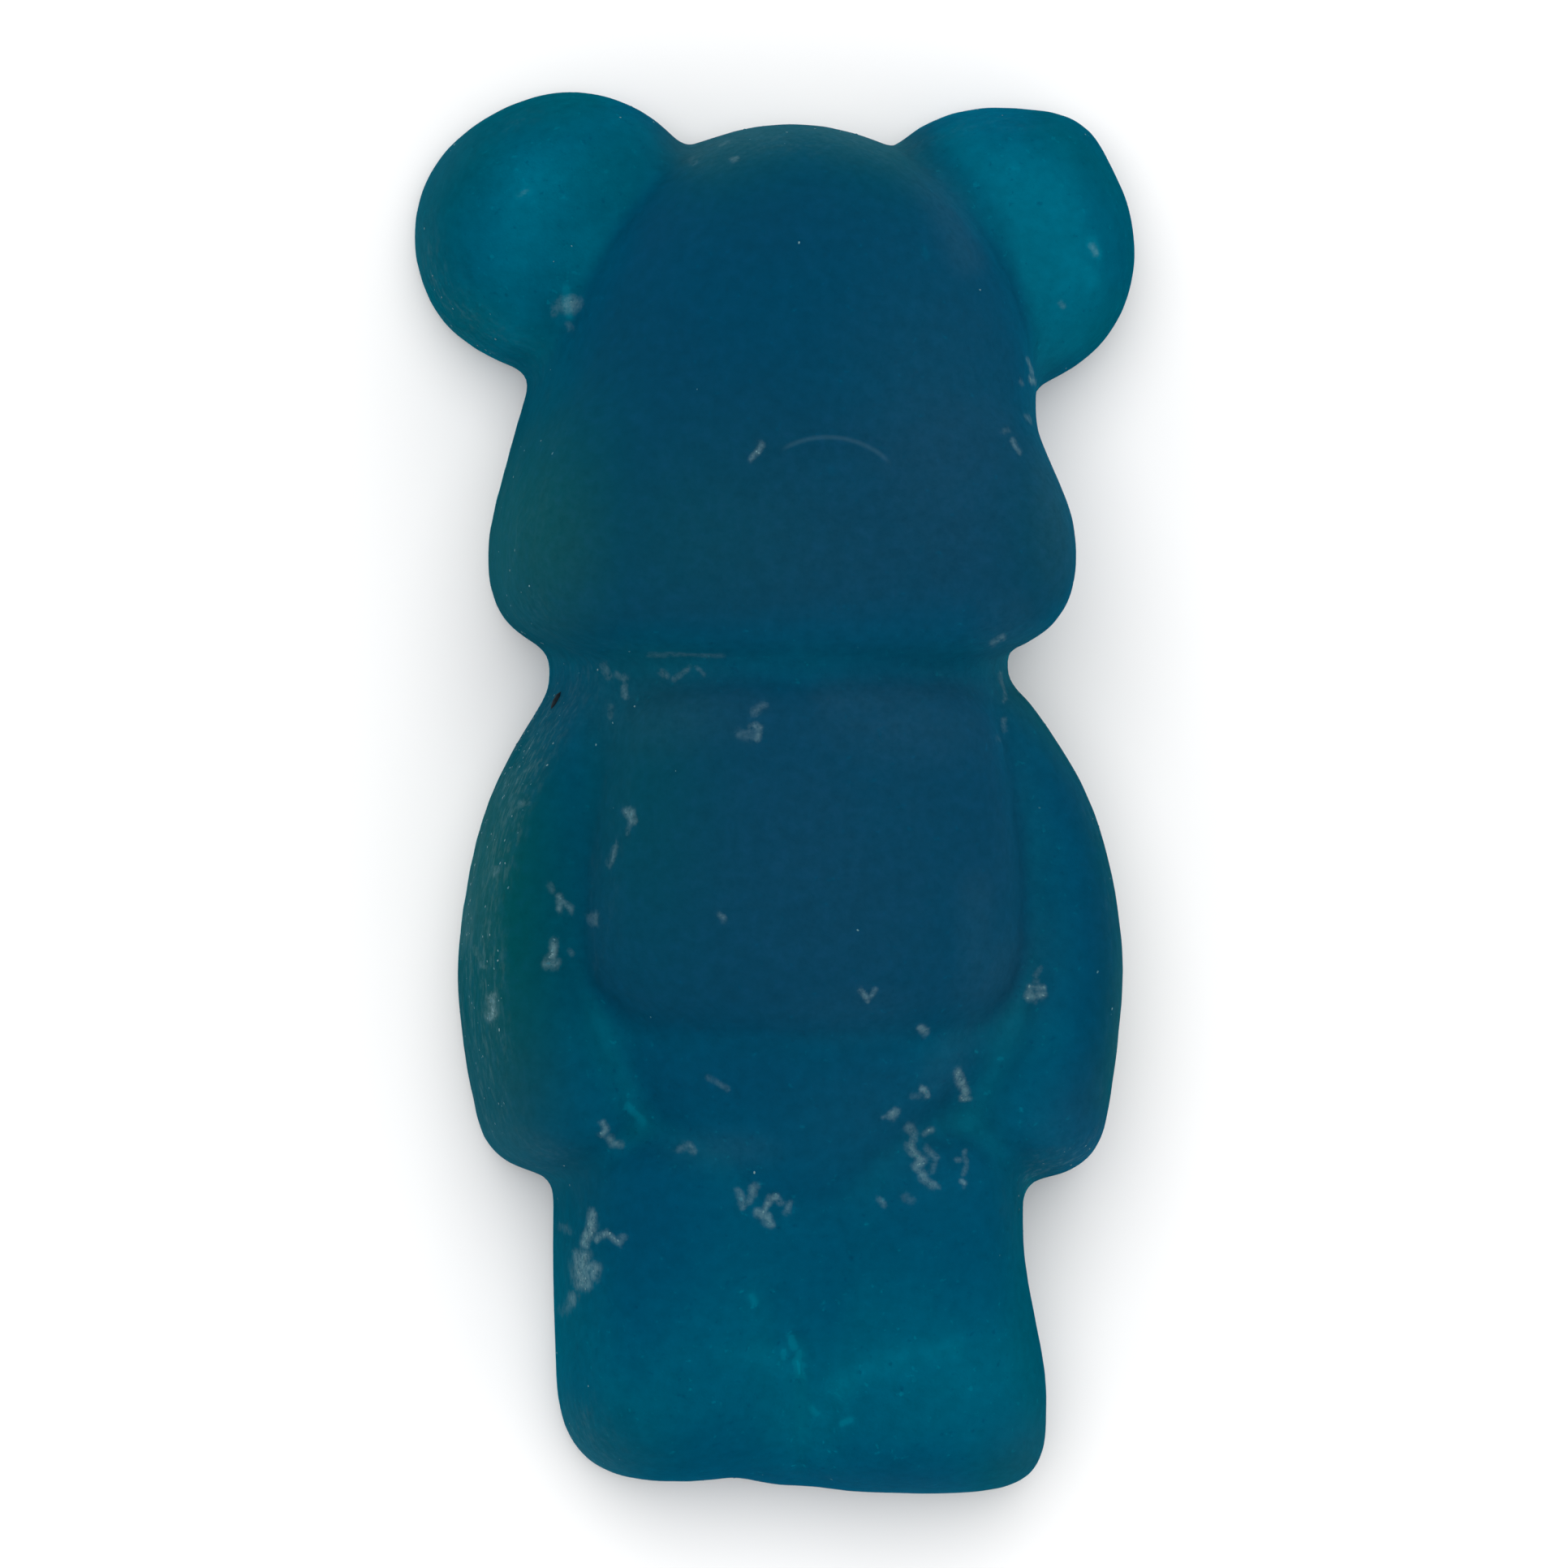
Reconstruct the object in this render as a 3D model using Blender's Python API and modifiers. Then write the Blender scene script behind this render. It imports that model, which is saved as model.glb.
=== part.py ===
"""A moulded gummy bear: one soft gelatine sweet that lies face up on its flat back.

The bear's length runs along Y with the head towards +Y, its width along X, and the
flat back that was the open side of the mould lies on Z = 0. All sizes are in
millimetres. Each rounded mass is a ball primitive squared up into a lump with steep
mould walls, and a close row of lumps runs smoothly from one key lump to the next. The rows of
one body part are melted together softly, then the body parts are grown into one solid
with tighter creases between them, and the back is cut flat.
"""

import math
from dataclasses import dataclass, fields

import bmesh
import bpy
from mathutils import Matrix, Vector

MM = 0.001

LENGTH = 26.0           # crown of the ears to the soles
BALL_LEVEL = 4          # fineness of the balls that the lumps are pushed out from
ROW_STEPS = 6           # lumps from one key lump of a row to the next
CLIFF = 7.0             # mould walls of the cheeks, chest and flanks: 2 is round, 8 a box
STEEP = 3.6             # mould walls of the temples and belly
CURVED = 3.2            # mould walls of the crown, ears and feet
ROUND = 2.9             # mould walls of the nose, waist and limbs
GROW_VOXEL = 0.16       # grain at which the lumps grow together
CREASE_ROUNDS = 6       # smoothing rounds for the creases between body parts
FACET_SHARE = 0.13      # share of the fine faces that the finished solid keeps
BENCH_MARGIN = 4.0      # how far the cutting block reaches past the bear

GUM_COLOUR = (0.006, 0.062, 0.105, 1.0)
GUM_ROUGHNESS = 0.42


@dataclass(frozen=True)
class Lump:
    """One rounded mass, centred at (x, y) on the back plane unless it is raised."""

    x: float
    y: float
    half_width: float
    up: float                 # reach towards the head
    down: float               # reach towards the feet
    height: float
    square: float = 2.0       # outline of the upper half: 2 is an ellipse, 4 a box
    square_down: float = 2.0  # outline of the lower half
    wall: float = ROUND
    turn: float = 0.0         # degrees, anticlockwise seen from above
    raised: float = 0.0       # height of the lump's middle above the back


@dataclass(frozen=True)
class BodyPart:
    """Rows of key lumps that melt into one mass, and the rounds that soften it."""

    rows: tuple
    softening: int


HEAD = BodyPart(
    rows=(
        (
            # Crown, temples and cheeks.
            Lump(-0.06, 7.55, 4.58, 5.02, 3.40, 7.45, wall=CURVED),
            Lump(-0.36, 6.05, 4.88, 4.20, 2.80, 7.60, wall=STEEP),
            Lump(-0.32, 4.58, 5.36, 3.60, 2.30, 7.70, square_down=3.2, wall=CLIFF),
        ),
    ),
    softening=16,
)
NOSE = BodyPart(
    rows=(
        (
            Lump(0.42, 5.70, 1.00, 0.75, 0.75, 0.62, square=2.2, square_down=2.2, raised=7.28),
        ),
    ),
    softening=2,
)
LEFT_EAR = BodyPart(
    rows=(
        (
            Lump(-4.27, 10.44, 2.76, 2.68, 2.68, 4.2, 2.15, 1.75, wall=CURVED, turn=28.0),
        ),
    ),
    softening=0,
)
RIGHT_EAR = BodyPart(
    rows=(
        (
            # The ear and its outer corner.
            Lump(3.84, 10.18, 2.64, 2.75, 2.64, 4.2, square=2.05, wall=CURVED),
            Lump(4.62, 11.50, 1.36, 1.36, 1.36, 3.6, wall=CURVED),
        ),
    ),
    softening=0,
)
TRUNK = BodyPart(
    rows=(
        (
            # Chest and belly.
            Lump(-0.05, 0.15, 3.70, 2.20, 2.20, 7.4, square=4.0, wall=CLIFF),
            Lump(-0.08, -2.40, 4.45, 2.20, 2.75, 7.7, square_down=2.6, wall=STEEP),
        ),
    ),
    softening=9,
)
WAIST = BodyPart(
    rows=(
        (
            # Neck and flanks.
            Lump(-0.25, 2.25, 4.26, 1.20, 1.50, 6.9, square=4.0, square_down=4.0),
            Lump(-0.05, -4.20, 4.60, 2.60, 2.60, 5.3, square=3.0, square_down=3.0, wall=CLIFF),
        ),
        (
            # Hips and groin.
            Lump(-0.10, -4.60, 4.15, 1.60, 1.75, 6.7, square=3.0, square_down=3.0),
            Lump(-0.20, -6.40, 2.70, 1.90, 2.25, 6.3, 1.6, 1.6, turn=10.0),
        ),
    ),
    softening=14,
)
LEGS = BodyPart(
    rows=(
        (
            # Left thigh, shin and foot.
            Lump(-2.20, -7.75, 2.24, 1.95, 2.00, 6.0, square=3.4, square_down=2.4),
            Lump(-2.20, -9.20, 2.24, 1.60, 2.00, 5.6, square=3.0, square_down=3.0),
            Lump(-2.16, -10.60, 2.24, 1.60, 2.32, 5.0, 3.0, 2.8, wall=CURVED),
        ),
        (
            # Right thigh, shin and foot.
            Lump(2.18, -7.65, 2.12, 1.95, 2.00, 6.0, square=3.0, square_down=2.4),
            Lump(2.20, -9.20, 2.16, 1.60, 2.00, 5.6, square=3.0, square_down=3.0),
            Lump(2.34, -11.15, 2.44, 1.60, 1.98, 5.0, 2.6, 4.6, wall=CURVED),
        ),
        (
            # The web between the legs, from the groin to the heels.
            Lump(0.0, -7.70, 2.40, 1.60, 1.60, 5.9, square=3.0, square_down=3.0),
            Lump(0.0, -9.40, 2.00, 1.40, 1.40, 5.35, square=3.0, square_down=3.0),
            Lump(0.0, -11.20, 1.20, 1.40, 1.78, 4.2, 4.0, 4.0, wall=CURVED),
        ),
    ),
    softening=20,
)
LEFT_ARM = BodyPart(
    rows=(
        (
            # Shoulder, upper arm, elbow, forearm and paw.
            Lump(-3.78, 1.00, 1.10, 1.20, 1.20, 5.2),
            Lump(-4.56, -0.65, 1.22, 1.20, 1.20, 5.3),
            Lump(-4.93, -2.90, 1.30, 1.20, 1.20, 5.4),
            Lump(-4.74, -4.60, 1.40, 1.20, 1.30, 5.5),
            Lump(-4.26, -5.74, 1.64, 1.20, 1.42, 5.6, square_down=2.4),
        ),
    ),
    softening=6,
)
RIGHT_ARM = BodyPart(
    rows=(
        (
            # Shoulder, upper arm, elbow, forearm and paw.
            Lump(3.55, 1.00, 1.10, 1.20, 1.20, 5.2),
            Lump(4.42, -0.65, 1.24, 1.20, 1.20, 5.3),
            Lump(4.84, -2.90, 1.30, 1.20, 1.20, 5.4),
            Lump(4.64, -4.60, 1.42, 1.20, 1.30, 5.5),
            Lump(4.20, -5.88, 1.66, 1.20, 1.38, 5.6, square_down=2.4),
        ),
    ),
    softening=6,
)

BODY_PARTS = (HEAD, NOSE, LEFT_EAR, RIGHT_EAR, TRUNK, WAIST, LEGS, LEFT_ARM, RIGHT_ARM)


def clear_scene():
    """Remove whatever the scene holds, so that only the bear is left."""
    for obj in list(bpy.data.objects):
        bpy.data.objects.remove(obj)


def eased(before, start, end, after, share):
    """The value at that share of the way from start to end, on a smooth curve through all four."""
    leaving = (end - before) / 2
    arriving = (after - start) / 2
    turned = share * share * (3 - 2 * share)
    value = start + (end - start) * turned
    value += leaving * share * (1 - share) ** 2
    value -= arriving * share * share * (1 - share)
    return value


def between(lumps, share):
    """The lump at that share of the way from the second of four key lumps to the third."""
    values = []
    for field in fields(Lump):
        four = [getattr(lump, field.name) for lump in lumps]
        values.append(eased(*four, share))
    return Lump(*values)


def lump_row(keys):
    """A close row of lumps on a smooth way through the key lumps."""
    keys = (keys[0], *keys, keys[-1])
    lumps = []
    for first in range(len(keys) - 3):
        for step in range(ROW_STEPS):
            lumps.append(between(keys[first:first + 4], step / ROW_STEPS))
    lumps.append(keys[-1])
    return lumps


def squared_point(direction, lump):
    """The point of the lump's surface in that direction from its middle."""
    reach = lump.up
    square = lump.square
    if direction.y < 0:
        reach = lump.down
        square = lump.square_down
    across = abs(direction.x) ** square + abs(direction.y) ** square
    size = (across ** (lump.wall / square) + abs(direction.z) ** lump.wall) ** (1 / lump.wall)
    unit = direction / size
    return Vector((unit.x * lump.half_width, unit.y * reach, unit.z * lump.height))


def add_lump(bm, lump):
    """Add one lump to the mesh, as a ball primitive pushed out to its squared form."""
    made = bmesh.ops.create_icosphere(bm, subdivisions=BALL_LEVEL, radius=1.0)
    place = Matrix.Translation((lump.x, lump.y, lump.raised))
    place = place @ Matrix.Rotation(math.radians(lump.turn), 4, "Z")
    for vert in made["verts"]:
        vert.co = place @ squared_point(vert.co.normalized(), lump) * MM


def add_fusing(obj, rounds):
    """Give an object of overlapping shells the modifiers that melt it into one skin."""
    fuse = obj.modifiers.new("fuse", "REMESH")
    fuse.mode = "VOXEL"
    fuse.voxel_size = GROW_VOXEL * MM
    if rounds:
        soften = obj.modifiers.new("soften", "SMOOTH")
        soften.factor = 0.5
        soften.iterations = rounds


def evaluated_mesh(obj):
    """A plain mesh of the object as its modifiers leave it."""
    evaluated = obj.evaluated_get(bpy.context.evaluated_depsgraph_get())
    return bpy.data.meshes.new_from_object(evaluated)


def melted_part(body_part):
    """The mesh of one body part, its rows of lumps melted together."""
    bm = bmesh.new()
    for keys in body_part.rows:
        for lump in lump_row(keys):
            add_lump(bm, lump)
    shells = bpy.data.meshes.new("shells")
    bm.to_mesh(shells)
    bm.free()
    part = bpy.data.objects.new("part", shells)
    bpy.context.scene.collection.objects.link(part)
    add_fusing(part, body_part.softening)
    melted = evaluated_mesh(part)
    bpy.data.objects.remove(part)
    return melted


def bear_object(collection):
    """All the melted body parts as one object of overlapping closed shells."""
    bm = bmesh.new()
    for body_part in BODY_PARTS:
        bm.from_mesh(melted_part(body_part))
    mesh = bpy.data.meshes.new("gummy_bear")
    bm.to_mesh(mesh)
    bm.free()
    bear = bpy.data.objects.new("gummy_bear", mesh)
    collection.objects.link(bear)
    return bear


def centre_on_origin(bear):
    """Bring the bear to its exact length with the middle of its back on the origin."""
    grown = bear.evaluated_get(bpy.context.evaluated_depsgraph_get())
    corners = [Vector(corner) for corner in grown.bound_box]
    low = corners[0]
    high = corners[6]
    middle = (low + high) / 2
    scale = LENGTH * MM / (high.y - low.y)
    bear.data.transform(Matrix.Scale(scale, 4) @ Matrix.Translation((-middle.x, -middle.y, 0)))


def bench_cutter(bear, collection):
    """A hidden block under Z = 0 that cuts the back flat."""
    size = max(bear.dimensions) + 2 * BENCH_MARGIN * MM
    bpy.ops.mesh.primitive_cube_add(size=size, location=(0, 0, -size / 2))
    bench = bpy.context.object
    bench.name = "bench_cutter"
    bench.hide_render = True
    bench.display_type = "WIRE"
    for owner in list(bench.users_collection):
        owner.objects.unlink(bench)
    collection.objects.link(bench)
    return bench


def finish_solid(bear, bench):
    """Cut the back of the grown bear flat and thin out the faces."""
    back = bear.modifiers.new("back", "BOOLEAN")
    back.operation = "DIFFERENCE"
    back.solver = "EXACT"
    back.object = bench
    thin = bear.modifiers.new("thin", "DECIMATE")
    thin.ratio = FACET_SHARE


def gum_material():
    """Dark teal gelatine with a soft, slightly dusty surface."""
    material = bpy.data.materials.new("gum")
    material.use_nodes = True
    shader = material.node_tree.nodes["Principled BSDF"]
    shader.inputs["Base Color"].default_value = GUM_COLOUR
    shader.inputs["Roughness"].default_value = GUM_ROUGHNESS
    shader.inputs["Metallic"].default_value = 0.0
    return material


def build():
    """Build the bear and leave it as the one rendered object."""
    clear_scene()
    model = bpy.data.collections.new("gummy_bear")
    cutters = bpy.data.collections.new("cutters")
    for collection in (model, cutters):
        bpy.context.scene.collection.children.link(collection)
    bear = bear_object(model)
    add_fusing(bear, CREASE_ROUNDS)
    centre_on_origin(bear)
    bpy.context.view_layer.update()
    bench = bench_cutter(bear, cutters)
    finish_solid(bear, bench)
    bear.data.materials.append(gum_material())
    bear.data.shade_smooth()


build()
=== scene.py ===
"""The looks of a moulded gummy bear: dark teal gelatine under a light dusting of starch.

The bear lies on its flat back with the head towards +Y. The classes give their sizes in
millimetres, and MM turns them into the frame's metres. Places on the bear are measured
from the middle of its back, and left and right are the viewer's, looking down on it.
"""

import logging
import math
from collections.abc import Iterable
from dataclasses import dataclass, replace
from enum import Enum

import bmesh
import bpy
import numpy as np
from mathutils import Matrix, Vector, noise
from mathutils.bvhtree import BVHTree


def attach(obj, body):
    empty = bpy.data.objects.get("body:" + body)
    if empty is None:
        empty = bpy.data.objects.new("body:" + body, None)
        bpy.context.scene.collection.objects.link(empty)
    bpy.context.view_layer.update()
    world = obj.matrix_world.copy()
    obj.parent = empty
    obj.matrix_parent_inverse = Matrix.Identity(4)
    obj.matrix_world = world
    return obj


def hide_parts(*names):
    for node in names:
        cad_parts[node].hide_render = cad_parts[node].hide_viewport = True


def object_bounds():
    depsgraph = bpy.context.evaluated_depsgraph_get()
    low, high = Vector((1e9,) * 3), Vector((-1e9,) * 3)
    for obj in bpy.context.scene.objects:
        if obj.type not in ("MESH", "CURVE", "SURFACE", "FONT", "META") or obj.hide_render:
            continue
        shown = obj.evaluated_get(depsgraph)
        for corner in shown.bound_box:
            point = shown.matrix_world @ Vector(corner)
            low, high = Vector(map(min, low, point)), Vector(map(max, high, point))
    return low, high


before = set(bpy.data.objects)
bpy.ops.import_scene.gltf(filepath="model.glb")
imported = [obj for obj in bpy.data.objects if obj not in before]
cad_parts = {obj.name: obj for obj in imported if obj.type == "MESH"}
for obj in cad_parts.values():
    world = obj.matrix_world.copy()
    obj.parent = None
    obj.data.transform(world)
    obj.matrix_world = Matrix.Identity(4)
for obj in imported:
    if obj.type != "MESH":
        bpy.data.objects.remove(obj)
cad_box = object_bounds()

log = logging.getLogger("gummy_bear")

MM = 0.001
CAD_NODE = "gummy_bear"
CAD_BODY = "root"

Colour = tuple[float, float, float, float]


class Trait(Enum):
    """What the finishes read at each point of the gum, as the name of a vertex attribute."""

    # The thickness the colour is read from: thin gum painted light, steep slopes painted shade, hollows
    # painted light.
    THICKNESS = "thickness_with_painted_light_and_shade"
    FROST = "frost"
    DUSTING = "dusting"
    SCUFF = "scuff"
    GREEN = "green_cast"
    GRAINS = "grain_density"


def srgb(red: float, green: float, blue: float) -> Colour:
    """Turn a colour as a swatch card gives it into the linear one that a shader takes.

    Args:
        red: Red from 0 to 255.
        green: Green from 0 to 255.
        blue: Blue from 0 to 255.

    Returns:
        The linear colour with full alpha.
    """
    shares = [value / 255 for value in (red, green, blue)]
    linear = [
        share / 12.92 if share <= 0.04045 else ((share + 0.055) / 1.055) ** 2.4
        for share in shares
    ]
    return (linear[0], linear[1], linear[2], 1.0)


def smooth_step(values: np.ndarray, low: float, high: float) -> np.ndarray:
    """Rise smoothly from 0 at low to 1 at high.

    Args:
        values: What is measured.
        low: Where the rise starts.
        high: Where it ends, which may lie below low for a fall.

    Returns:
        The shares from 0 to 1.
    """
    share = np.clip((values - low) / (high - low), 0.0, 1.0)
    return share * share * (3 - 2 * share)


class NodeSketch:
    """A node tree being wired up, with one short call for each kind of node used here."""

    def __init__(self, tree: bpy.types.NodeTree) -> None:
        """Keep the tree that the nodes go into."""
        self.tree = tree

    def feed(self, socket: bpy.types.NodeSocket, value: object) -> None:
        """Link value to the socket where it is a socket itself, and otherwise set it."""
        if isinstance(value, bpy.types.NodeSocket):
            self.tree.links.new(value, socket)
        else:
            socket.default_value = value

    def node(self, kind: str, inputs: dict[str, object], **settings: object) -> bpy.types.Node:
        """Add a node.

        Args:
            kind: Blender's name for the kind of node.
            inputs: Sockets or values by the name or identifier of the input they go to.
            settings: The node's own options.

        Returns:
            The new node.
        """
        made = self.tree.nodes.new(kind)
        for name, value in settings.items():
            setattr(made, name, value)
        by_identifier = {socket.identifier: socket for socket in made.inputs}
        for name, value in inputs.items():
            self.feed(by_identifier.get(name) or made.inputs[name], value)
        return made

    def output(self, made: bpy.types.Node, identifier: str) -> bpy.types.NodeSocket:
        """Find the node's output that has this identifier."""
        return next(socket for socket in made.outputs if socket.identifier == identifier)

    def maths(self, operation: str, *values: object) -> bpy.types.NodeSocket:
        """Work out one number from others, with the operation named as Blender names it."""
        made = self.node("ShaderNodeMath", {}, operation=operation)
        for socket, value in zip(made.inputs, values):
            self.feed(socket, value)
        return made.outputs[0]

    def step(self, value: object, low: float, high: float) -> bpy.types.NodeSocket:
        """Rise smoothly from 0, where value is low, to 1, where it is high."""
        made = self.node(
            "ShaderNodeMapRange",
            {"Value": value, "From Min": low, "From Max": high},
            interpolation_type="SMOOTHSTEP",
        )
        return made.outputs["Result"]

    def mix(self, share: object, first: object, second: object, mode: str = "MIX") -> bpy.types.NodeSocket:
        """Mix two colours.

        Args:
            share: How much of the second colour goes in.
            first: The colour underneath.
            second: The colour on top.
            mode: Blender's name for the way of mixing.

        Returns:
            The mixed colour.
        """
        made = self.node(
            "ShaderNodeMix",
            {"Factor_Float": share, "A_Color": first, "B_Color": second},
            data_type="RGBA",
            blend_type=mode,
        )
        return self.output(made, "Result_Color")

    def trait(self, trait: Trait) -> bpy.types.NodeSocket:
        """Read one of the gum's vertex attributes."""
        made = self.node("ShaderNodeAttribute", {}, attribute_name=trait.value)
        return made.outputs["Fac"]

    def millimetres(self) -> bpy.types.NodeSocket:
        """The place on the piece, in millimetres."""
        place = self.node("ShaderNodeTexCoord", {}).outputs["Object"]
        scaled = self.node("ShaderNodeVectorMath", {"Vector": place, "Scale": 1 / MM}, operation="SCALE")
        return scaled.outputs[0]

    def clouds(
        self, place: object, size: float, detail: float = 2.0, rough: float = 0.5
    ) -> bpy.types.NodeSocket:
        """Cloudy noise from 0 to 1.

        Args:
            place: Where on the piece, in millimetres.
            size: The size of a cloud in millimetres.
            detail: How many finer layers it has.
            rough: How strong the finer layers are.

        Returns:
            The noise.
        """
        made = self.node(
            "ShaderNodeTexNoise",
            {"Vector": place, "Scale": 1 / size, "Detail": detail, "Roughness": rough},
        )
        return made.outputs["Fac"]

    def ramp(self, value: object, stops: Iterable[tuple[float, Colour]]) -> bpy.types.NodeSocket:
        """Turn a number into a colour between the stops.

        Args:
            value: The number, from 0 to 1.
            stops: Each stop's place and colour, in rising order.

        Returns:
            The colour.
        """
        made = self.node("ShaderNodeValToRGB", {"Fac": value})
        elements = made.color_ramp.elements
        elements.remove(elements[1])
        first, *others = stops
        elements[0].position, elements[0].color = first
        for place, colour in others:
            elements.new(place).color = colour
        return made.outputs["Color"]


def new_material(name: str) -> tuple[bpy.types.Material, NodeSketch, bpy.types.Node]:
    """Start a material.

    Args:
        name: The material's name.

    Returns:
        The material, a sketch of its node tree, and its shader node.
    """
    material = bpy.data.materials.new(name)
    material.use_nodes = True
    sketch = NodeSketch(material.node_tree)
    return material, sketch, material.node_tree.nodes["Principled BSDF"]


@dataclass(frozen=True)
class RaggedEdge:
    """The noise that frays the starch marks, alike in their film and in their grains."""

    size: float = 0.12
    detail: float = 4.0
    rough: float = 0.72
    bite: float = 3.6               # how much the noise takes from a mark or adds to it
    floor: float = 0.05             # strength below which nothing is left of a mark

    def noise(self, sketch: NodeSketch, place: object) -> bpy.types.NodeSocket:
        """The noise at a place given in millimetres."""
        return sketch.clouds(place, self.size, self.detail, self.rough)

    def frayed(self, sketch: NodeSketch, scuff: object, grain: object) -> bpy.types.NodeSocket:
        """Fray a soft mark.

        Args:
            sketch: The tree being wired.
            scuff: The mark's soft strength.
            grain: The noise.

        Returns:
            The mark with ragged edges, from 0 to 1.
        """
        uneven = sketch.maths("MULTIPLY_ADD", sketch.maths("SUBTRACT", grain, 0.5), self.bite, 1.0)
        bitten = sketch.maths("SUBTRACT", sketch.maths("MULTIPLY", scuff, uneven), self.floor)
        return sketch.maths("MINIMUM", sketch.maths("MAXIMUM", bitten, 0.0), 1.0)


RAGGED_EDGE = RaggedEdge()


@dataclass(frozen=True)
class Arc:
    """A thin line along the upper part of a circle, from one x to another."""

    centre: tuple[float, float]
    radius: float
    left: float
    right: float
    width: float
    fade: float = 0.22              # length over which its two ends fade out
    lowest: float = 5.0             # height above which the line is drawn

    def share(self, points: np.ndarray) -> np.ndarray:
        """How strongly the line is drawn at each point.

        Args:
            points: The places, in millimetres.

        Returns:
            The shares, from 0 to 1.
        """
        across, along = points[:, 0] - self.centre[0], points[:, 1] - self.centre[1]
        line = np.exp(-((2 * (np.hypot(across, along) - self.radius) / self.width) ** 2))
        ends = smooth_step(points[:, 0], self.left, self.left + self.fade)
        ends *= smooth_step(points[:, 0], self.right, self.right - self.fade)
        return line * ends * (along > 0) * (points[:, 2] > self.lowest)

    def drawn(self, sketch: NodeSketch, place: object) -> bpy.types.NodeSocket:
        """Draw the line in a material.

        Args:
            sketch: The material's node tree.
            place: Where on the piece, in millimetres.

        Returns:
            How strongly the line is drawn, from 0 to 1.
        """
        apart = sketch.node("ShaderNodeSeparateXYZ", {"Vector": place}).outputs
        across = sketch.maths("SUBTRACT", apart["X"], self.centre[0])
        along = sketch.maths("SUBTRACT", apart["Y"], self.centre[1])
        squares = sketch.maths("MULTIPLY_ADD", across, across, sketch.maths("MULTIPLY", along, along))
        off = sketch.maths("ABSOLUTE", sketch.maths("SUBTRACT", sketch.maths("SQRT", squares), self.radius))
        line = sketch.step(sketch.maths("MULTIPLY", off, -1.0), -self.width / 2, 0.0)
        from_left = sketch.step(apart["X"], self.left, self.left + self.fade)
        mirrored = sketch.maths("MULTIPLY", apart["X"], -1.0)
        to_right = sketch.step(mirrored, -self.right, self.fade - self.right)
        upper = sketch.maths("GREATER_THAN", along, 0.0)
        high = sketch.maths("GREATER_THAN", apart["Z"], self.lowest)
        line = sketch.maths("MULTIPLY", line, sketch.maths("MULTIPLY", from_left, to_right))
        return sketch.maths("MULTIPLY", line, sketch.maths("MULTIPLY", upper, high))


NOSE_RIM = Arc(centre=(0.42, 4.82), radius=1.65, left=-0.46, right=1.62, width=0.14)


@dataclass(frozen=True)
class GumTone:
    """The gum's colour where it looks that thick, with the light that comes through thin gum painted in."""

    thickness: float
    colour: Colour


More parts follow.
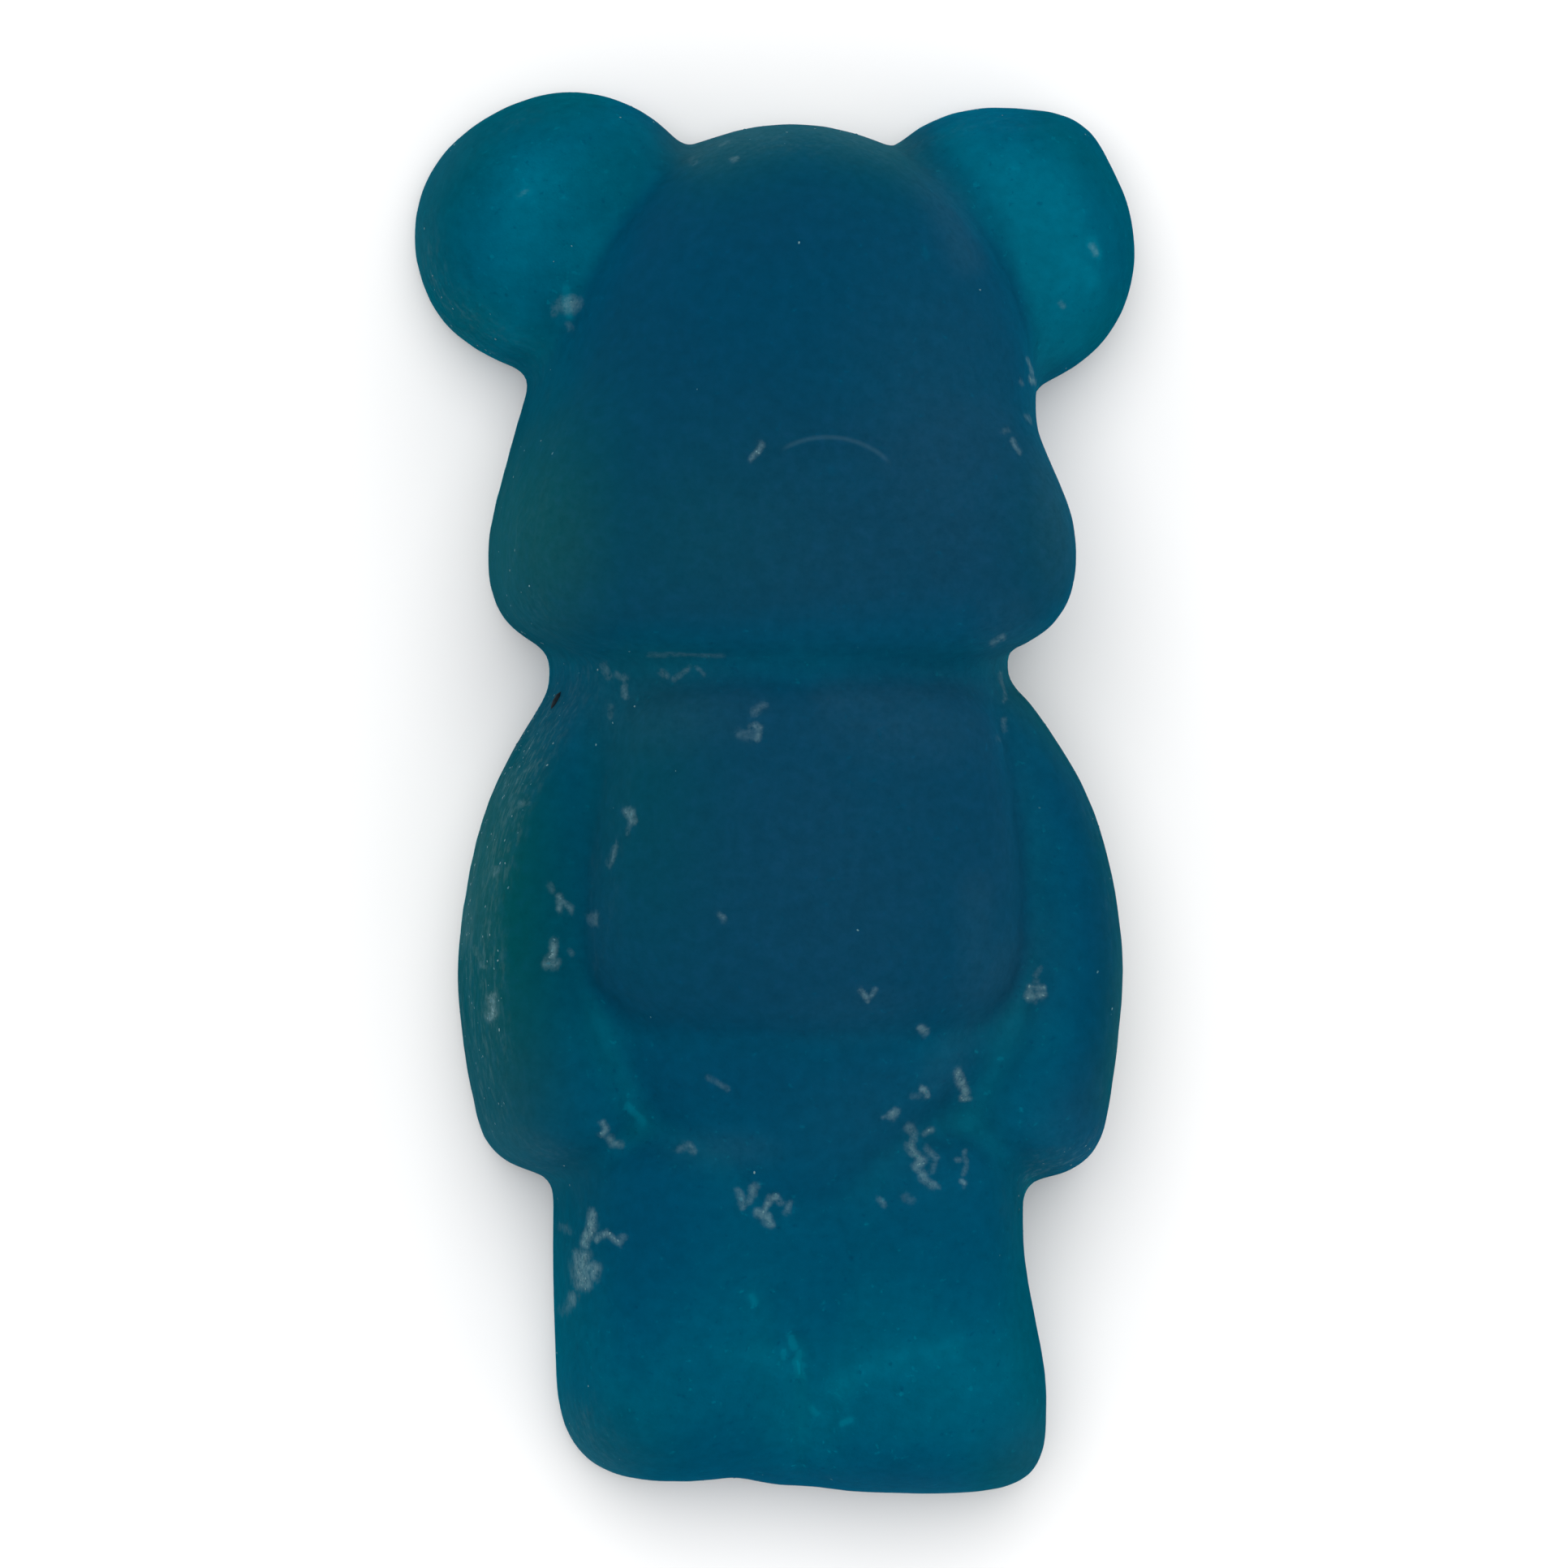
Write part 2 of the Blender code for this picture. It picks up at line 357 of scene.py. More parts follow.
@dataclass(frozen=True)
class GumFinish:
    """Teal gelatine painted lighter where it is thinner, for the light that comes through it, and darker as
    it thickens; its skin is matt and slightly dusty.
    """

    tones: tuple[GumTone, ...] = (
        GumTone(1.0, srgb(0, 128, 148)),
        GumTone(2.6, srgb(0, 98, 120)),
        GumTone(4.2, srgb(0, 94, 116)),
        GumTone(5.0, srgb(0, 80, 103)),
        GumTone(5.6, srgb(0, 72, 97)),
        GumTone(6.2, srgb(0, 66, 92)),
        GumTone(6.9, srgb(1, 61, 87)),
        GumTone(7.8, srgb(5, 58, 83)),
    )
    green_cast: Colour = srgb(0, 66, 70)
    violet_cast: Colour = srgb(14, 56, 88)
    starch: Colour = srgb(120, 153, 158)
    deepest: float = 9.0            # thickness from which the gum gets no darker
    cloud_size: float = 1.7         # soft clouds inside the gum
    mottle_size: float = 0.24       # finer mottling of the skin
    speck_size: float = 0.15        # small specks, lighter and darker, inside the gum
    streak_size: float = 0.14       # width of the dusty streaks on the walls
    streak_stretch: float = 0.45    # how much slower they change along the bear
    roughness: float = 0.46
    dusty_roughness: float = 0.78
    refraction: float = 1.12        # low, as the dry skin gives off little gloss at a slant
    specular: float = 0.0
    scatter: float = 0.50           # share of the light that wanders under the skin
    scatter_reach: float = 1.2
    mark_share: float = 0.45        # how much of the gum a starch mark covers
    rim_share: float = 0.05         # and the line round the nose
    nose_rim: Arc = NOSE_RIM
    cloud_share: float = 0.12       # what the soft clouds add to the thickness, of the deepest
    light_speck: float = -0.17      # what a light speck adds to it
    dark_speck: float = 0.10        # and a dark one
    violet_start: float = 6.4       # thickness from which the gum turns violet
    violet_full: float = 8.0
    violet_share: float = 0.18
    darkest_mottle: float = 0.77
    lightest_mottle: float = 1.23
    film_least: float = 0.30        # film of starch between the streaks, of the frost
    film_streaked: float = 2.0      # what a full streak adds to it
    halo_share: float = 0.05        # thin film round a starch mark
    most_dust: float = 0.6
    grain_relief: float = 0.35      # height of the finest noise, of the mottle's
    dust_relief: float = 1.6        # how far starch stands proud, of the mottle's height
    relief_strength: float = 0.6
    relief_depth: float = 0.02

    def material(self) -> bpy.types.Material:
        """Make the material.

        Returns:
            The finished material.
        """
        material, sketch, shader = new_material("teal_gum")
        place = sketch.millimetres()
        clouds = sketch.clouds(place, self.cloud_size, detail=3.0)
        mottle = sketch.clouds(place, self.mottle_size, detail=4.0, rough=0.62)
        grain = RAGGED_EDGE.noise(sketch, place)
        colour = self.gum_colour(sketch, clouds, mottle, self.specks(sketch, place))
        dust = self.dust(sketch, self.streaks(sketch, place), grain, self.nose_rim.drawn(sketch, place))
        shader.inputs["IOR"].default_value = self.refraction
        shader.inputs["Specular IOR Level"].default_value = self.specular
        shader.inputs["Subsurface Weight"].default_value = self.scatter
        shader.inputs["Subsurface Radius"].default_value = (0.35, 1.0, 1.2)
        shader.inputs["Subsurface Scale"].default_value = self.scatter_reach * MM
        sketch.feed(shader.inputs["Base Color"], sketch.mix(dust, colour, self.starch))
        rough = sketch.node(
            "ShaderNodeMapRange",
            {"Value": dust, "From Max": 0.3, "To Min": self.roughness, "To Max": self.dusty_roughness},
        )
        sketch.feed(shader.inputs["Roughness"], rough.outputs["Result"])
        sketch.feed(shader.inputs["Normal"], self.relief(sketch, dust, mottle, grain))
        return material

    def specks(self, sketch: NodeSketch, place: object) -> bpy.types.NodeSocket:
        """How much thicker the gum looks in its dark specks, and thinner in its light ones.

        Args:
            sketch: The material's node tree.
            place: Where on the piece, in millimetres.

        Returns:
            What the specks add, as a share of the deepest thickness.
        """
        light = sketch.step(sketch.clouds(place, self.speck_size, detail=2.5), 0.63, 0.82)
        elsewhere = sketch.node("ShaderNodeVectorMath", {"Vector": place}, operation="ADD")
        sketch.feed(elsewhere.inputs[1], (17.0, 5.0, 11.0))
        dark = sketch.step(sketch.clouds(elsewhere.outputs[0], self.speck_size, detail=2.5), 0.63, 0.80)
        lighter = sketch.maths("MULTIPLY", light, self.light_speck)
        return sketch.maths("MULTIPLY_ADD", dark, self.dark_speck, lighter)

    def gum_colour(
        self, sketch: NodeSketch, clouds: object, mottle: object, specks: object
    ) -> bpy.types.NodeSocket:
        """The colour of the gum, with painted light and shade, from its thickness and its soft clouds.

        Args:
            sketch: The material's node tree.
            clouds: Broad noise.
            mottle: Fine noise.
            specks: What the specks add to the thickness.

        Returns:
            The colour without its dust.
        """
        thickness = sketch.maths("DIVIDE", sketch.trait(Trait.THICKNESS), self.deepest)
        centred = sketch.maths("SUBTRACT", clouds, 0.5)
        wander = sketch.maths("MULTIPLY_ADD", centred, self.cloud_share, specks)
        tones = [(tone.thickness / self.deepest, tone.colour) for tone in self.tones]
        colour = sketch.ramp(sketch.maths("ADD", thickness, wander), tones)
        colour = sketch.mix(sketch.trait(Trait.GREEN), colour, self.green_cast)
        deep = sketch.step(sketch.trait(Trait.THICKNESS), self.violet_start, self.violet_full)
        violet = sketch.maths("MULTIPLY", deep, sketch.step(mottle, 0.45, 0.75))
        violet = sketch.maths("MULTIPLY", violet, self.violet_share)
        colour = sketch.mix(violet, colour, self.violet_cast)
        grey = sketch.node("ShaderNodeCombineColor", {})
        shade = sketch.node(
            "ShaderNodeMapRange",
            {"Value": mottle, "To Min": self.darkest_mottle, "To Max": self.lightest_mottle},
        )
        for socket in grey.inputs:
            sketch.feed(socket, shade.outputs["Result"])
        return sketch.mix(1.0, colour, grey.outputs[0], mode="MULTIPLY")

    def streaks(self, sketch: NodeSketch, place: object) -> bpy.types.NodeSocket:
        """Noise drawn out along the bear, as its dusty walls were rubbed that way.

        Args:
            sketch: The material's node tree.
            place: Where on the piece, in millimetres.

        Returns:
            The streaks, from 0 to 1.
        """
        drawn = sketch.node("ShaderNodeVectorMath", {"Vector": place}, operation="MULTIPLY")
        sketch.feed(drawn.inputs[1], (1.0, self.streak_stretch, 1.0))
        noisy = sketch.clouds(drawn.outputs[0], self.streak_size, detail=4.0, rough=0.65)
        return sketch.step(noisy, 0.46, 0.70)

    def dust(self, sketch: NodeSketch, streaks: object, grain: object, rim: object) -> bpy.types.NodeSocket:
        """How much starch lies on the skin, from a breath on the walls to ragged marks.

        Args:
            sketch: The material's node tree.
            streaks: Noise drawn out along the bear.
            grain: The noise that frays the marks.
            rim: The line round the top of the nose.

        Returns:
            The share of starch.
        """
        uneven = sketch.maths("MULTIPLY_ADD", streaks, self.film_streaked, self.film_least)
        patchy = sketch.maths("MULTIPLY", sketch.trait(Trait.DUSTING), sketch.maths("MULTIPLY", grain, 2.0))
        film = sketch.maths("MULTIPLY_ADD", sketch.trait(Trait.FROST), uneven, patchy)
        scuff = sketch.trait(Trait.SCUFF)
        marks = sketch.maths("MULTIPLY", RAGGED_EDGE.frayed(sketch, scuff, grain), self.mark_share)
        lined = sketch.maths("MULTIPLY", rim, self.rim_share)
        halo = sketch.maths("MULTIPLY_ADD", scuff, self.halo_share, lined)
        both = sketch.maths("MAXIMUM", sketch.maths("ADD", film, halo), marks)
        return sketch.maths("MINIMUM", both, self.most_dust)

    def relief(
        self, sketch: NodeSketch, dust: object, mottle: object, grain: object
    ) -> bpy.types.NodeSocket:
        """The fine relief of the skin: a soft orange peel with the starch standing proud.

        Args:
            sketch: The material's node tree.
            dust: The share of starch.
            mottle: Fine noise.
            grain: The finest noise.

        Returns:
            The bumped normal.
        """
        height = sketch.maths("MULTIPLY_ADD", grain, self.grain_relief, mottle)
        height = sketch.maths("MULTIPLY_ADD", dust, self.dust_relief, height)
        bump = sketch.node(
            "ShaderNodeBump",
            {"Strength": self.relief_strength, "Distance": self.relief_depth * MM, "Height": height},
        )
        return bump.outputs["Normal"]


@dataclass(frozen=True)
class StarchFinish:
    """Dull bluish white starch, each grain a little lighter or darker."""

    light: Colour = srgb(104, 138, 144)
    dull: Colour = srgb(44, 100, 114)
    roughness: float = 0.85

    def material(self) -> bpy.types.Material:
        """Make the material.

        Returns:
            The finished material.
        """
        material, sketch, shader = new_material("moulding_starch")
        tone = sketch.step(sketch.clouds(sketch.millimetres(), 0.16, detail=2.0), 0.35, 0.65)
        sketch.feed(shader.inputs["Base Color"], sketch.mix(tone, self.dull, self.light))
        shader.inputs["Roughness"].default_value = self.roughness
        shader.inputs["Specular IOR Level"].default_value = 0.15
        return material


@dataclass(frozen=True)
class FleckFinish:
    """Nearly black."""

    dark: Colour = srgb(6, 14, 20)
    light: Colour = srgb(18, 34, 42)
    roughness: float = 0.7

    def material(self) -> bpy.types.Material:
        """Make the material.

        Returns:
            The finished material.
        """
        material, sketch, shader = new_material("dark_fleck")
        tone = sketch.clouds(sketch.millimetres(), 0.08, detail=2.0)
        sketch.feed(shader.inputs["Base Color"], sketch.mix(tone, self.dark, self.light))
        shader.inputs["Roughness"].default_value = self.roughness
        shader.inputs["Specular IOR Level"].default_value = 0.1
        return material


@dataclass(frozen=True)
class FloorFinish:
    """Plain pale board."""

    colour: Colour = (0.93, 0.93, 0.93, 1.0)
    roughness: float = 0.8

    def material(self) -> bpy.types.Material:
        """Make the material.

        Returns:
            The finished material.
        """
        material, _, shader = new_material("pale_board")
        shader.inputs["Base Color"].default_value = self.colour
        shader.inputs["Roughness"].default_value = self.roughness
        shader.inputs["Specular IOR Level"].default_value = 0.1
        return material


Line = tuple[tuple[float, float], ...]


def gap_to_line(points: np.ndarray, line: Line) -> np.ndarray:
    """Measure how far points lie from a line, as seen from above.

    Args:
        points: The places, in millimetres.
        line: The ends of the line's straight stretches.

    Returns:
        The gaps, in millimetres.
    """
    flat = points[:, :2]
    nearest = np.full(len(points), np.inf)
    for start, end in zip(line, line[1:]):
        first = np.array(start)
        run = np.array(end) - first
        share = np.clip(((flat - first) @ run) / (run @ run), 0.0, 1.0)
        gap = np.linalg.norm(flat - first - share[:, None] * run, axis=1)
        nearest = np.minimum(nearest, gap)
    return nearest


@dataclass(frozen=True)
class Smear:
    """A stroke with soft edges: of starch, of light or of a tone in the gum."""

    width: float
    strength: float
    line: Line

    def share(self, points: np.ndarray) -> np.ndarray:
        """How much of the stroke lies at each point, up to its strength."""
        return self.strength * np.exp(-((1.66 * gap_to_line(points, self.line) / self.width) ** 2))

    def near(self, points: np.ndarray, margin: float) -> np.ndarray:
        """Which points lie within the margin of the stroke's edge."""
        return gap_to_line(points, self.line) < self.width / 2 + margin


@dataclass(frozen=True)
class Fold:
    """A rounded ridge in the upper side, or a groove where its rise is negative."""

    line: Line
    width: float
    rise: float

    def share(self, points: np.ndarray) -> np.ndarray:
        """How much of the fold's rise each point gets, from 0 to 1."""
        return np.exp(-((2 * gap_to_line(points, self.line) / self.width) ** 2))


@dataclass(frozen=True)
class Patch:
    """A soft oval place centred at (x, y), turned anticlockwise by that many degrees."""

    x: float
    y: float
    length: float
    width: float
    turn: float
    amount: float

    def share(self, points: np.ndarray) -> np.ndarray:
        """How much of the patch lies at each point, up to its amount.

        Args:
            points: The places, in millimetres.

        Returns:
            The shares.
        """
        angle = math.radians(self.turn)
        along = (points[:, 0] - self.x) * math.cos(angle) + (points[:, 1] - self.y) * math.sin(angle)
        across = (points[:, 1] - self.y) * math.cos(angle) - (points[:, 0] - self.x) * math.sin(angle)
        spread = (2 * along / self.length) ** 2 + (2 * across / self.width) ** 2
        return self.amount * np.exp(-0.7 * spread)


# The smears of moulding starch: width, strength and line.
SMEARS = (
    # The top of the head and the left ear.
    Smear(0.12, 0.45, ((-1.08, 12.00), (-1.21, 11.94))),
    Smear(0.09, 0.45, ((-1.03, 11.64), (-1.12, 11.59))),
    Smear(0.18, 0.25, ((-1.64, 11.74), (-1.78, 11.61))),
    Smear(0.12, 0.25, ((-0.58, 12.15), (-0.68, 12.12))),
    Smear(0.09, 0.20, ((-4.81, 11.06), (-4.99, 10.96))),
    Smear(0.21, 0.65, ((-4.06, 8.94), (-3.97, 8.98))),
    Smear(0.12, 0.30, ((-4.18, 9.07), (-4.29, 8.82))),
    Smear(0.12, 0.20, ((-4.08, 8.60), (-4.03, 8.51))),
    # The right ear and the head's right edge.
    Smear(0.12, 0.40, ((5.60, 10.06), (5.66, 9.93))),
    Smear(0.09, 0.30, ((5.01, 9.02), (5.07, 8.97))),
    Smear(0.09, 0.50, ((4.36, 7.94), (4.50, 7.71))),
    Smear(0.12, 0.70, ((4.42, 7.60), (4.56, 7.56))),
    Smear(0.09, 0.30, ((4.15, 7.51), (4.20, 7.50))),
    Smear(0.12, 0.35, ((4.26, 6.91), (4.36, 6.81))),
    Smear(0.12, 0.25, ((3.69, 6.60), (3.80, 6.62))),
    Smear(0.10, 0.45, ((3.86, 6.43), (3.99, 6.23))),
    # The face.
    Smear(0.10, 0.65, ((-0.78, 6.33), (-0.87, 6.21), (-0.96, 6.07))),
    # The neck's left half.
    Smear(0.12, 0.40, ((-2.51, 2.21), (-2.42, 2.12))),
    Smear(0.09, 0.30, ((-2.28, 2.06), (-2.18, 2.15), (-2.01, 2.30))),
    Smear(0.09, 0.28, ((-1.88, 2.27), (-1.75, 2.15))),
    Smear(0.10, 0.45, ((-3.12, 1.94), (-3.11, 1.77))),
    Smear(0.12, 0.28, ((-3.24, 2.18), (-3.13, 2.06))),
    Smear(0.15, 0.28, ((-3.47, 2.30), (-3.40, 2.15))),
    Smear(0.09, 0.22, ((-2.75, 2.50), (-2.18, 2.53), (-1.44, 2.49))),
    Smear(0.12, 0.22, ((-3.38, 1.59), (-3.38, 1.38))),
    # The neck's right half.
    Smear(0.12, 0.50, ((3.53, 2.74), (3.70, 2.84))),
    Smear(0.10, 0.30, ((3.86, 2.19), (3.93, 1.89), (3.92, 1.71))),
    Smear(0.10, 0.32, ((3.86, 1.33), (3.86, 1.15))),
    Smear(0.10, 0.30, ((3.66, 1.01), (3.72, 1.00))),
    # The left arm.
    Smear(0.12, 0.70, ((-4.29, -1.88), (-4.31, -2.09))),
    Smear(0.10, 0.60, ((-4.26, -1.94), (-4.08, -2.12))),
    Smear(0.12, 0.30, ((-4.47, -1.72), (-4.44, -1.78))),
    Smear(0.11, 0.42, ((-3.36, -1.00), (-3.44, -1.28))),
    Smear(0.13, 0.60, ((-3.15, -0.32), (-3.08, -0.50))),
    Smear(0.10, 0.25, ((-3.10, -0.50), (-3.16, -0.72))),
    Smear(0.14, 0.35, ((-3.71, -2.25), (-3.69, -2.37))),
    Smear(0.12, 0.85, ((-4.40, -2.71), (-4.46, -2.98))),
    Smear(0.12, 0.70, ((-4.46, -2.98), (-4.54, -3.10), (-4.36, -3.11))),
    Smear(0.09, 0.30, ((-4.13, -2.89), (-4.08, -2.94))),
    Smear(0.14, 0.80, ((-5.49, -3.74), (-5.49, -4.09))),
    Smear(0.12, 0.40, ((-5.38, -1.37), (-5.42, -1.49))),
    Smear(0.12, 0.30, ((-4.69, 1.05), (-4.59, 1.22))),
    Smear(0.09, 0.35, ((-5.75, -2.80), (-5.68, -3.02), (-5.63, -3.17))),
    Smear(0.09, 0.30, ((-5.04, -0.07), (-5.12, -0.22))),
    Smear(0.12, 0.35, ((-4.93, -0.22), (-4.85, -0.19))),
    # The left paw.
    Smear(0.10, 0.75, ((-3.50, -6.02), (-3.44, -6.15), (-3.48, -6.24))),
    Smear(0.10, 0.55, ((-3.36, -6.31), (-3.33, -6.43), (-3.16, -6.44))),
    Smear(0.09, 0.25, ((-1.67, -5.18), (-1.30, -5.40))),
    Smear(0.10, 0.50, ((-1.93, -6.44), (-1.89, -6.54))),
    Smear(0.12, 0.30, ((-2.11, -6.53), (-1.99, -6.49))),
    # The chest and the belly.
    Smear(0.16, 0.32, ((-0.72, 1.58), (-0.88, 1.48))),
    Smear(0.10, 0.62, ((-0.88, 1.26), (-0.81, 1.21))),
    Smear(0.10, 0.60, ((-0.82, 1.08), (-0.84, 0.98))),
    Smear(0.20, 0.28, ((-1.15, 1.07), (-0.88, 1.05))),
    Smear(0.12, 0.28, ((-0.95, 1.23), (-0.97, 1.11))),
    Smear(0.10, 0.50, ((-1.52, -2.22), (-1.47, -2.25))),
    Smear(0.07, 0.75, ((1.03, -3.61), (1.19, -3.75))),
    Smear(0.09, 0.50, ((1.30, -3.58), (1.24, -3.67))),
    Smear(0.12, 0.80, ((2.24, -4.29), (2.31, -4.35))),
    # The right arm.
    Smear(0.10, 0.78, ((4.39, -3.57), (4.57, -3.58))),
    Smear(0.12, 0.80, ((4.49, -3.69), (4.56, -3.70))),
    Smear(0.12, 0.78, ((4.30, -3.75), (4.39, -3.73))),
    Smear(0.12, 0.55, ((4.36, -3.58), (4.32, -3.73))),
    Smear(0.10, 0.32, ((4.52, -3.19), (4.46, -3.31), (4.46, -3.46))),
    # The right hip.
    Smear(0.14, 0.90, ((2.96, -5.12), (3.05, -5.29), (3.16, -5.50))),
    Smear(0.10, 0.85, ((3.07, -5.60), (3.23, -5.59))),
    Smear(0.09, 0.90, ((2.30, -5.39), (2.39, -5.52))),
    Smear(0.15, 0.22, ((2.12, -5.53), (2.31, -5.54))),
    Smear(0.12, 0.68, ((1.80, -5.82), (1.71, -5.91))),
    Smear(0.09, 0.32, ((1.71, -5.91), (1.59, -5.94))),
    Smear(0.12, 0.65, ((2.06, -6.11), (2.17, -6.23), (2.17, -6.35))),
    Smear(0.10, 0.52, ((2.53, -6.18), (2.37, -6.27))),
    Smear(0.12, 0.78, ((2.14, -6.44), (2.16, -6.57), (2.33, -6.71), (2.23, -6.81))),
    Smear(0.12, 0.45, ((2.43, -6.52), (2.54, -6.66))),
    Smear(0.12, 0.72, ((2.19, -6.84), (2.32, -6.93), (2.33, -7.06), (2.49, -7.15))),
    Smear(0.12, 0.28, ((2.51, -6.87), (2.52, -6.78))),
    Smear(0.09, 0.35, ((3.13, -6.55), (3.14, -6.70), (3.08, -6.94))),
    Smear(0.10, 0.45, ((2.94, -6.71), (3.00, -6.71))),
    Smear(0.10, 0.80, ((3.06, -7.09), (3.09, -7.11))),
    Smear(0.10, 0.45, ((1.55, -7.46), (1.59, -7.55))),
    Smear(0.15, 0.22, ((2.00, -7.37), (2.09, -7.43))),
    # Between the legs.
    Smear(0.12, 0.50, ((-1.07, -7.26), (-1.04, -7.42), (-0.97, -7.54))),
    Smear(0.14, 0.50, ((-0.77, -7.19), (-0.82, -7.34), (-0.88, -7.46))),
    Smear(0.10, 0.75, ((-0.37, -7.36), (-0.47, -7.40), (-0.52, -7.55), (-0.58, -7.69))),
    Smear(0.09, 0.55, ((-0.37, -7.36), (-0.29, -7.47))),
    Smear(0.14, 0.75, ((-0.67, -7.68), (-0.51, -7.74), (-0.49, -7.87))),
    Smear(0.10, 0.40, ((-0.16, -7.48), (-0.18, -7.65))),
    # The left leg.
    Smear(0.12, 0.75, ((-3.65, -7.73), (-3.64, -8.00), (-3.72, -8.15), (-3.78, -8.28))),
    Smear(0.10, 0.60, ((-3.58, -8.17), (-3.46, -8.03), (-3.33, -8.12), (-3.22, -8.22))),
    Smear(0.09, 0.35, ((-3.22, -8.22), (-3.16, -8.08), (-3.12, -8.13))),
    Smear(0.20, 0.75, ((-3.80, -8.49), (-3.81, -8.68), (-3.81, -8.89), (-3.78, -9.01))),
    Smear(0.16, 0.60, ((-3.76, -8.72), (-3.58, -8.70), (-3.65, -8.85))),
    Smear(0.12, 0.45, ((-4.03, -7.99), (-3.99, -8.07))),
    Smear(0.12, 0.58, ((-3.92, -9.24), (-3.94, -9.35))),
    Smear(0.12, 0.40, ((-3.96, -9.39), (-4.05, -9.61))),
)

# The small bright flecks and soft bright lines, where light comes through.
GLINTS = (
    # The ears and the face.
    Smear(0.10, 0.45, ((-4.80, 11.05), (-4.99, 10.96))),
    Smear(0.12, 0.35, ((-4.10, 9.25), (-4.05, 8.75))),
    Smear(0.14, 0.50, ((5.58, 10.12), (5.68, 9.92))),
    Smear(0.25, 0.18, ((5.20, 9.75), (5.60, 9.45))),
    Smear(0.12, 0.30, ((2.28, 9.92), (2.33, 9.78))),
    Smear(0.14, 0.22, ((0.46, 5.90), (0.50, 5.82))),
    # The left forearm.
    Smear(0.10, 0.50, ((-3.05, -5.72), (-2.75, -6.02))),
    Smear(0.35, 0.06, ((-3.65, -4.90), (-3.20, -5.60))),
    # The upper edges of the feet, and the flecks between them.
    Smear(0.45, 0.10, ((0.95, -10.85), (1.50, -10.50), (2.20, -10.25), (2.90, -10.15))),
    Smear(0.40, 0.07, ((-1.30, -10.30), (-0.50, -10.30), (0.00, -10.60))),
    Smear(0.10, 0.45, ((-0.02, -9.97), (0.01, -10.15))),
    Smear(0.09, 0.40, ((0.12, -10.24), (0.11, -10.33))),
    Smear(0.10, 0.70, ((0.07, -10.41), (0.15, -10.62))),
    Smear(0.10, 0.40, ((-0.17, -10.24), (-0.16, -10.33))),
    Smear(0.09, 0.30, ((0.43, -11.28), (0.50, -11.36))),
    Smear(0.09, 0.35, ((1.11, -11.47), (0.95, -11.60))),
    Smear(0.12, 0.22, ((-0.81, -9.17), (-0.73, -9.32))),
)

FEET_CREASE = Fold(((0.14, -10.1), (0.22, -11.2), (0.30, -12.9)), width=0.34, rise=-0.10)
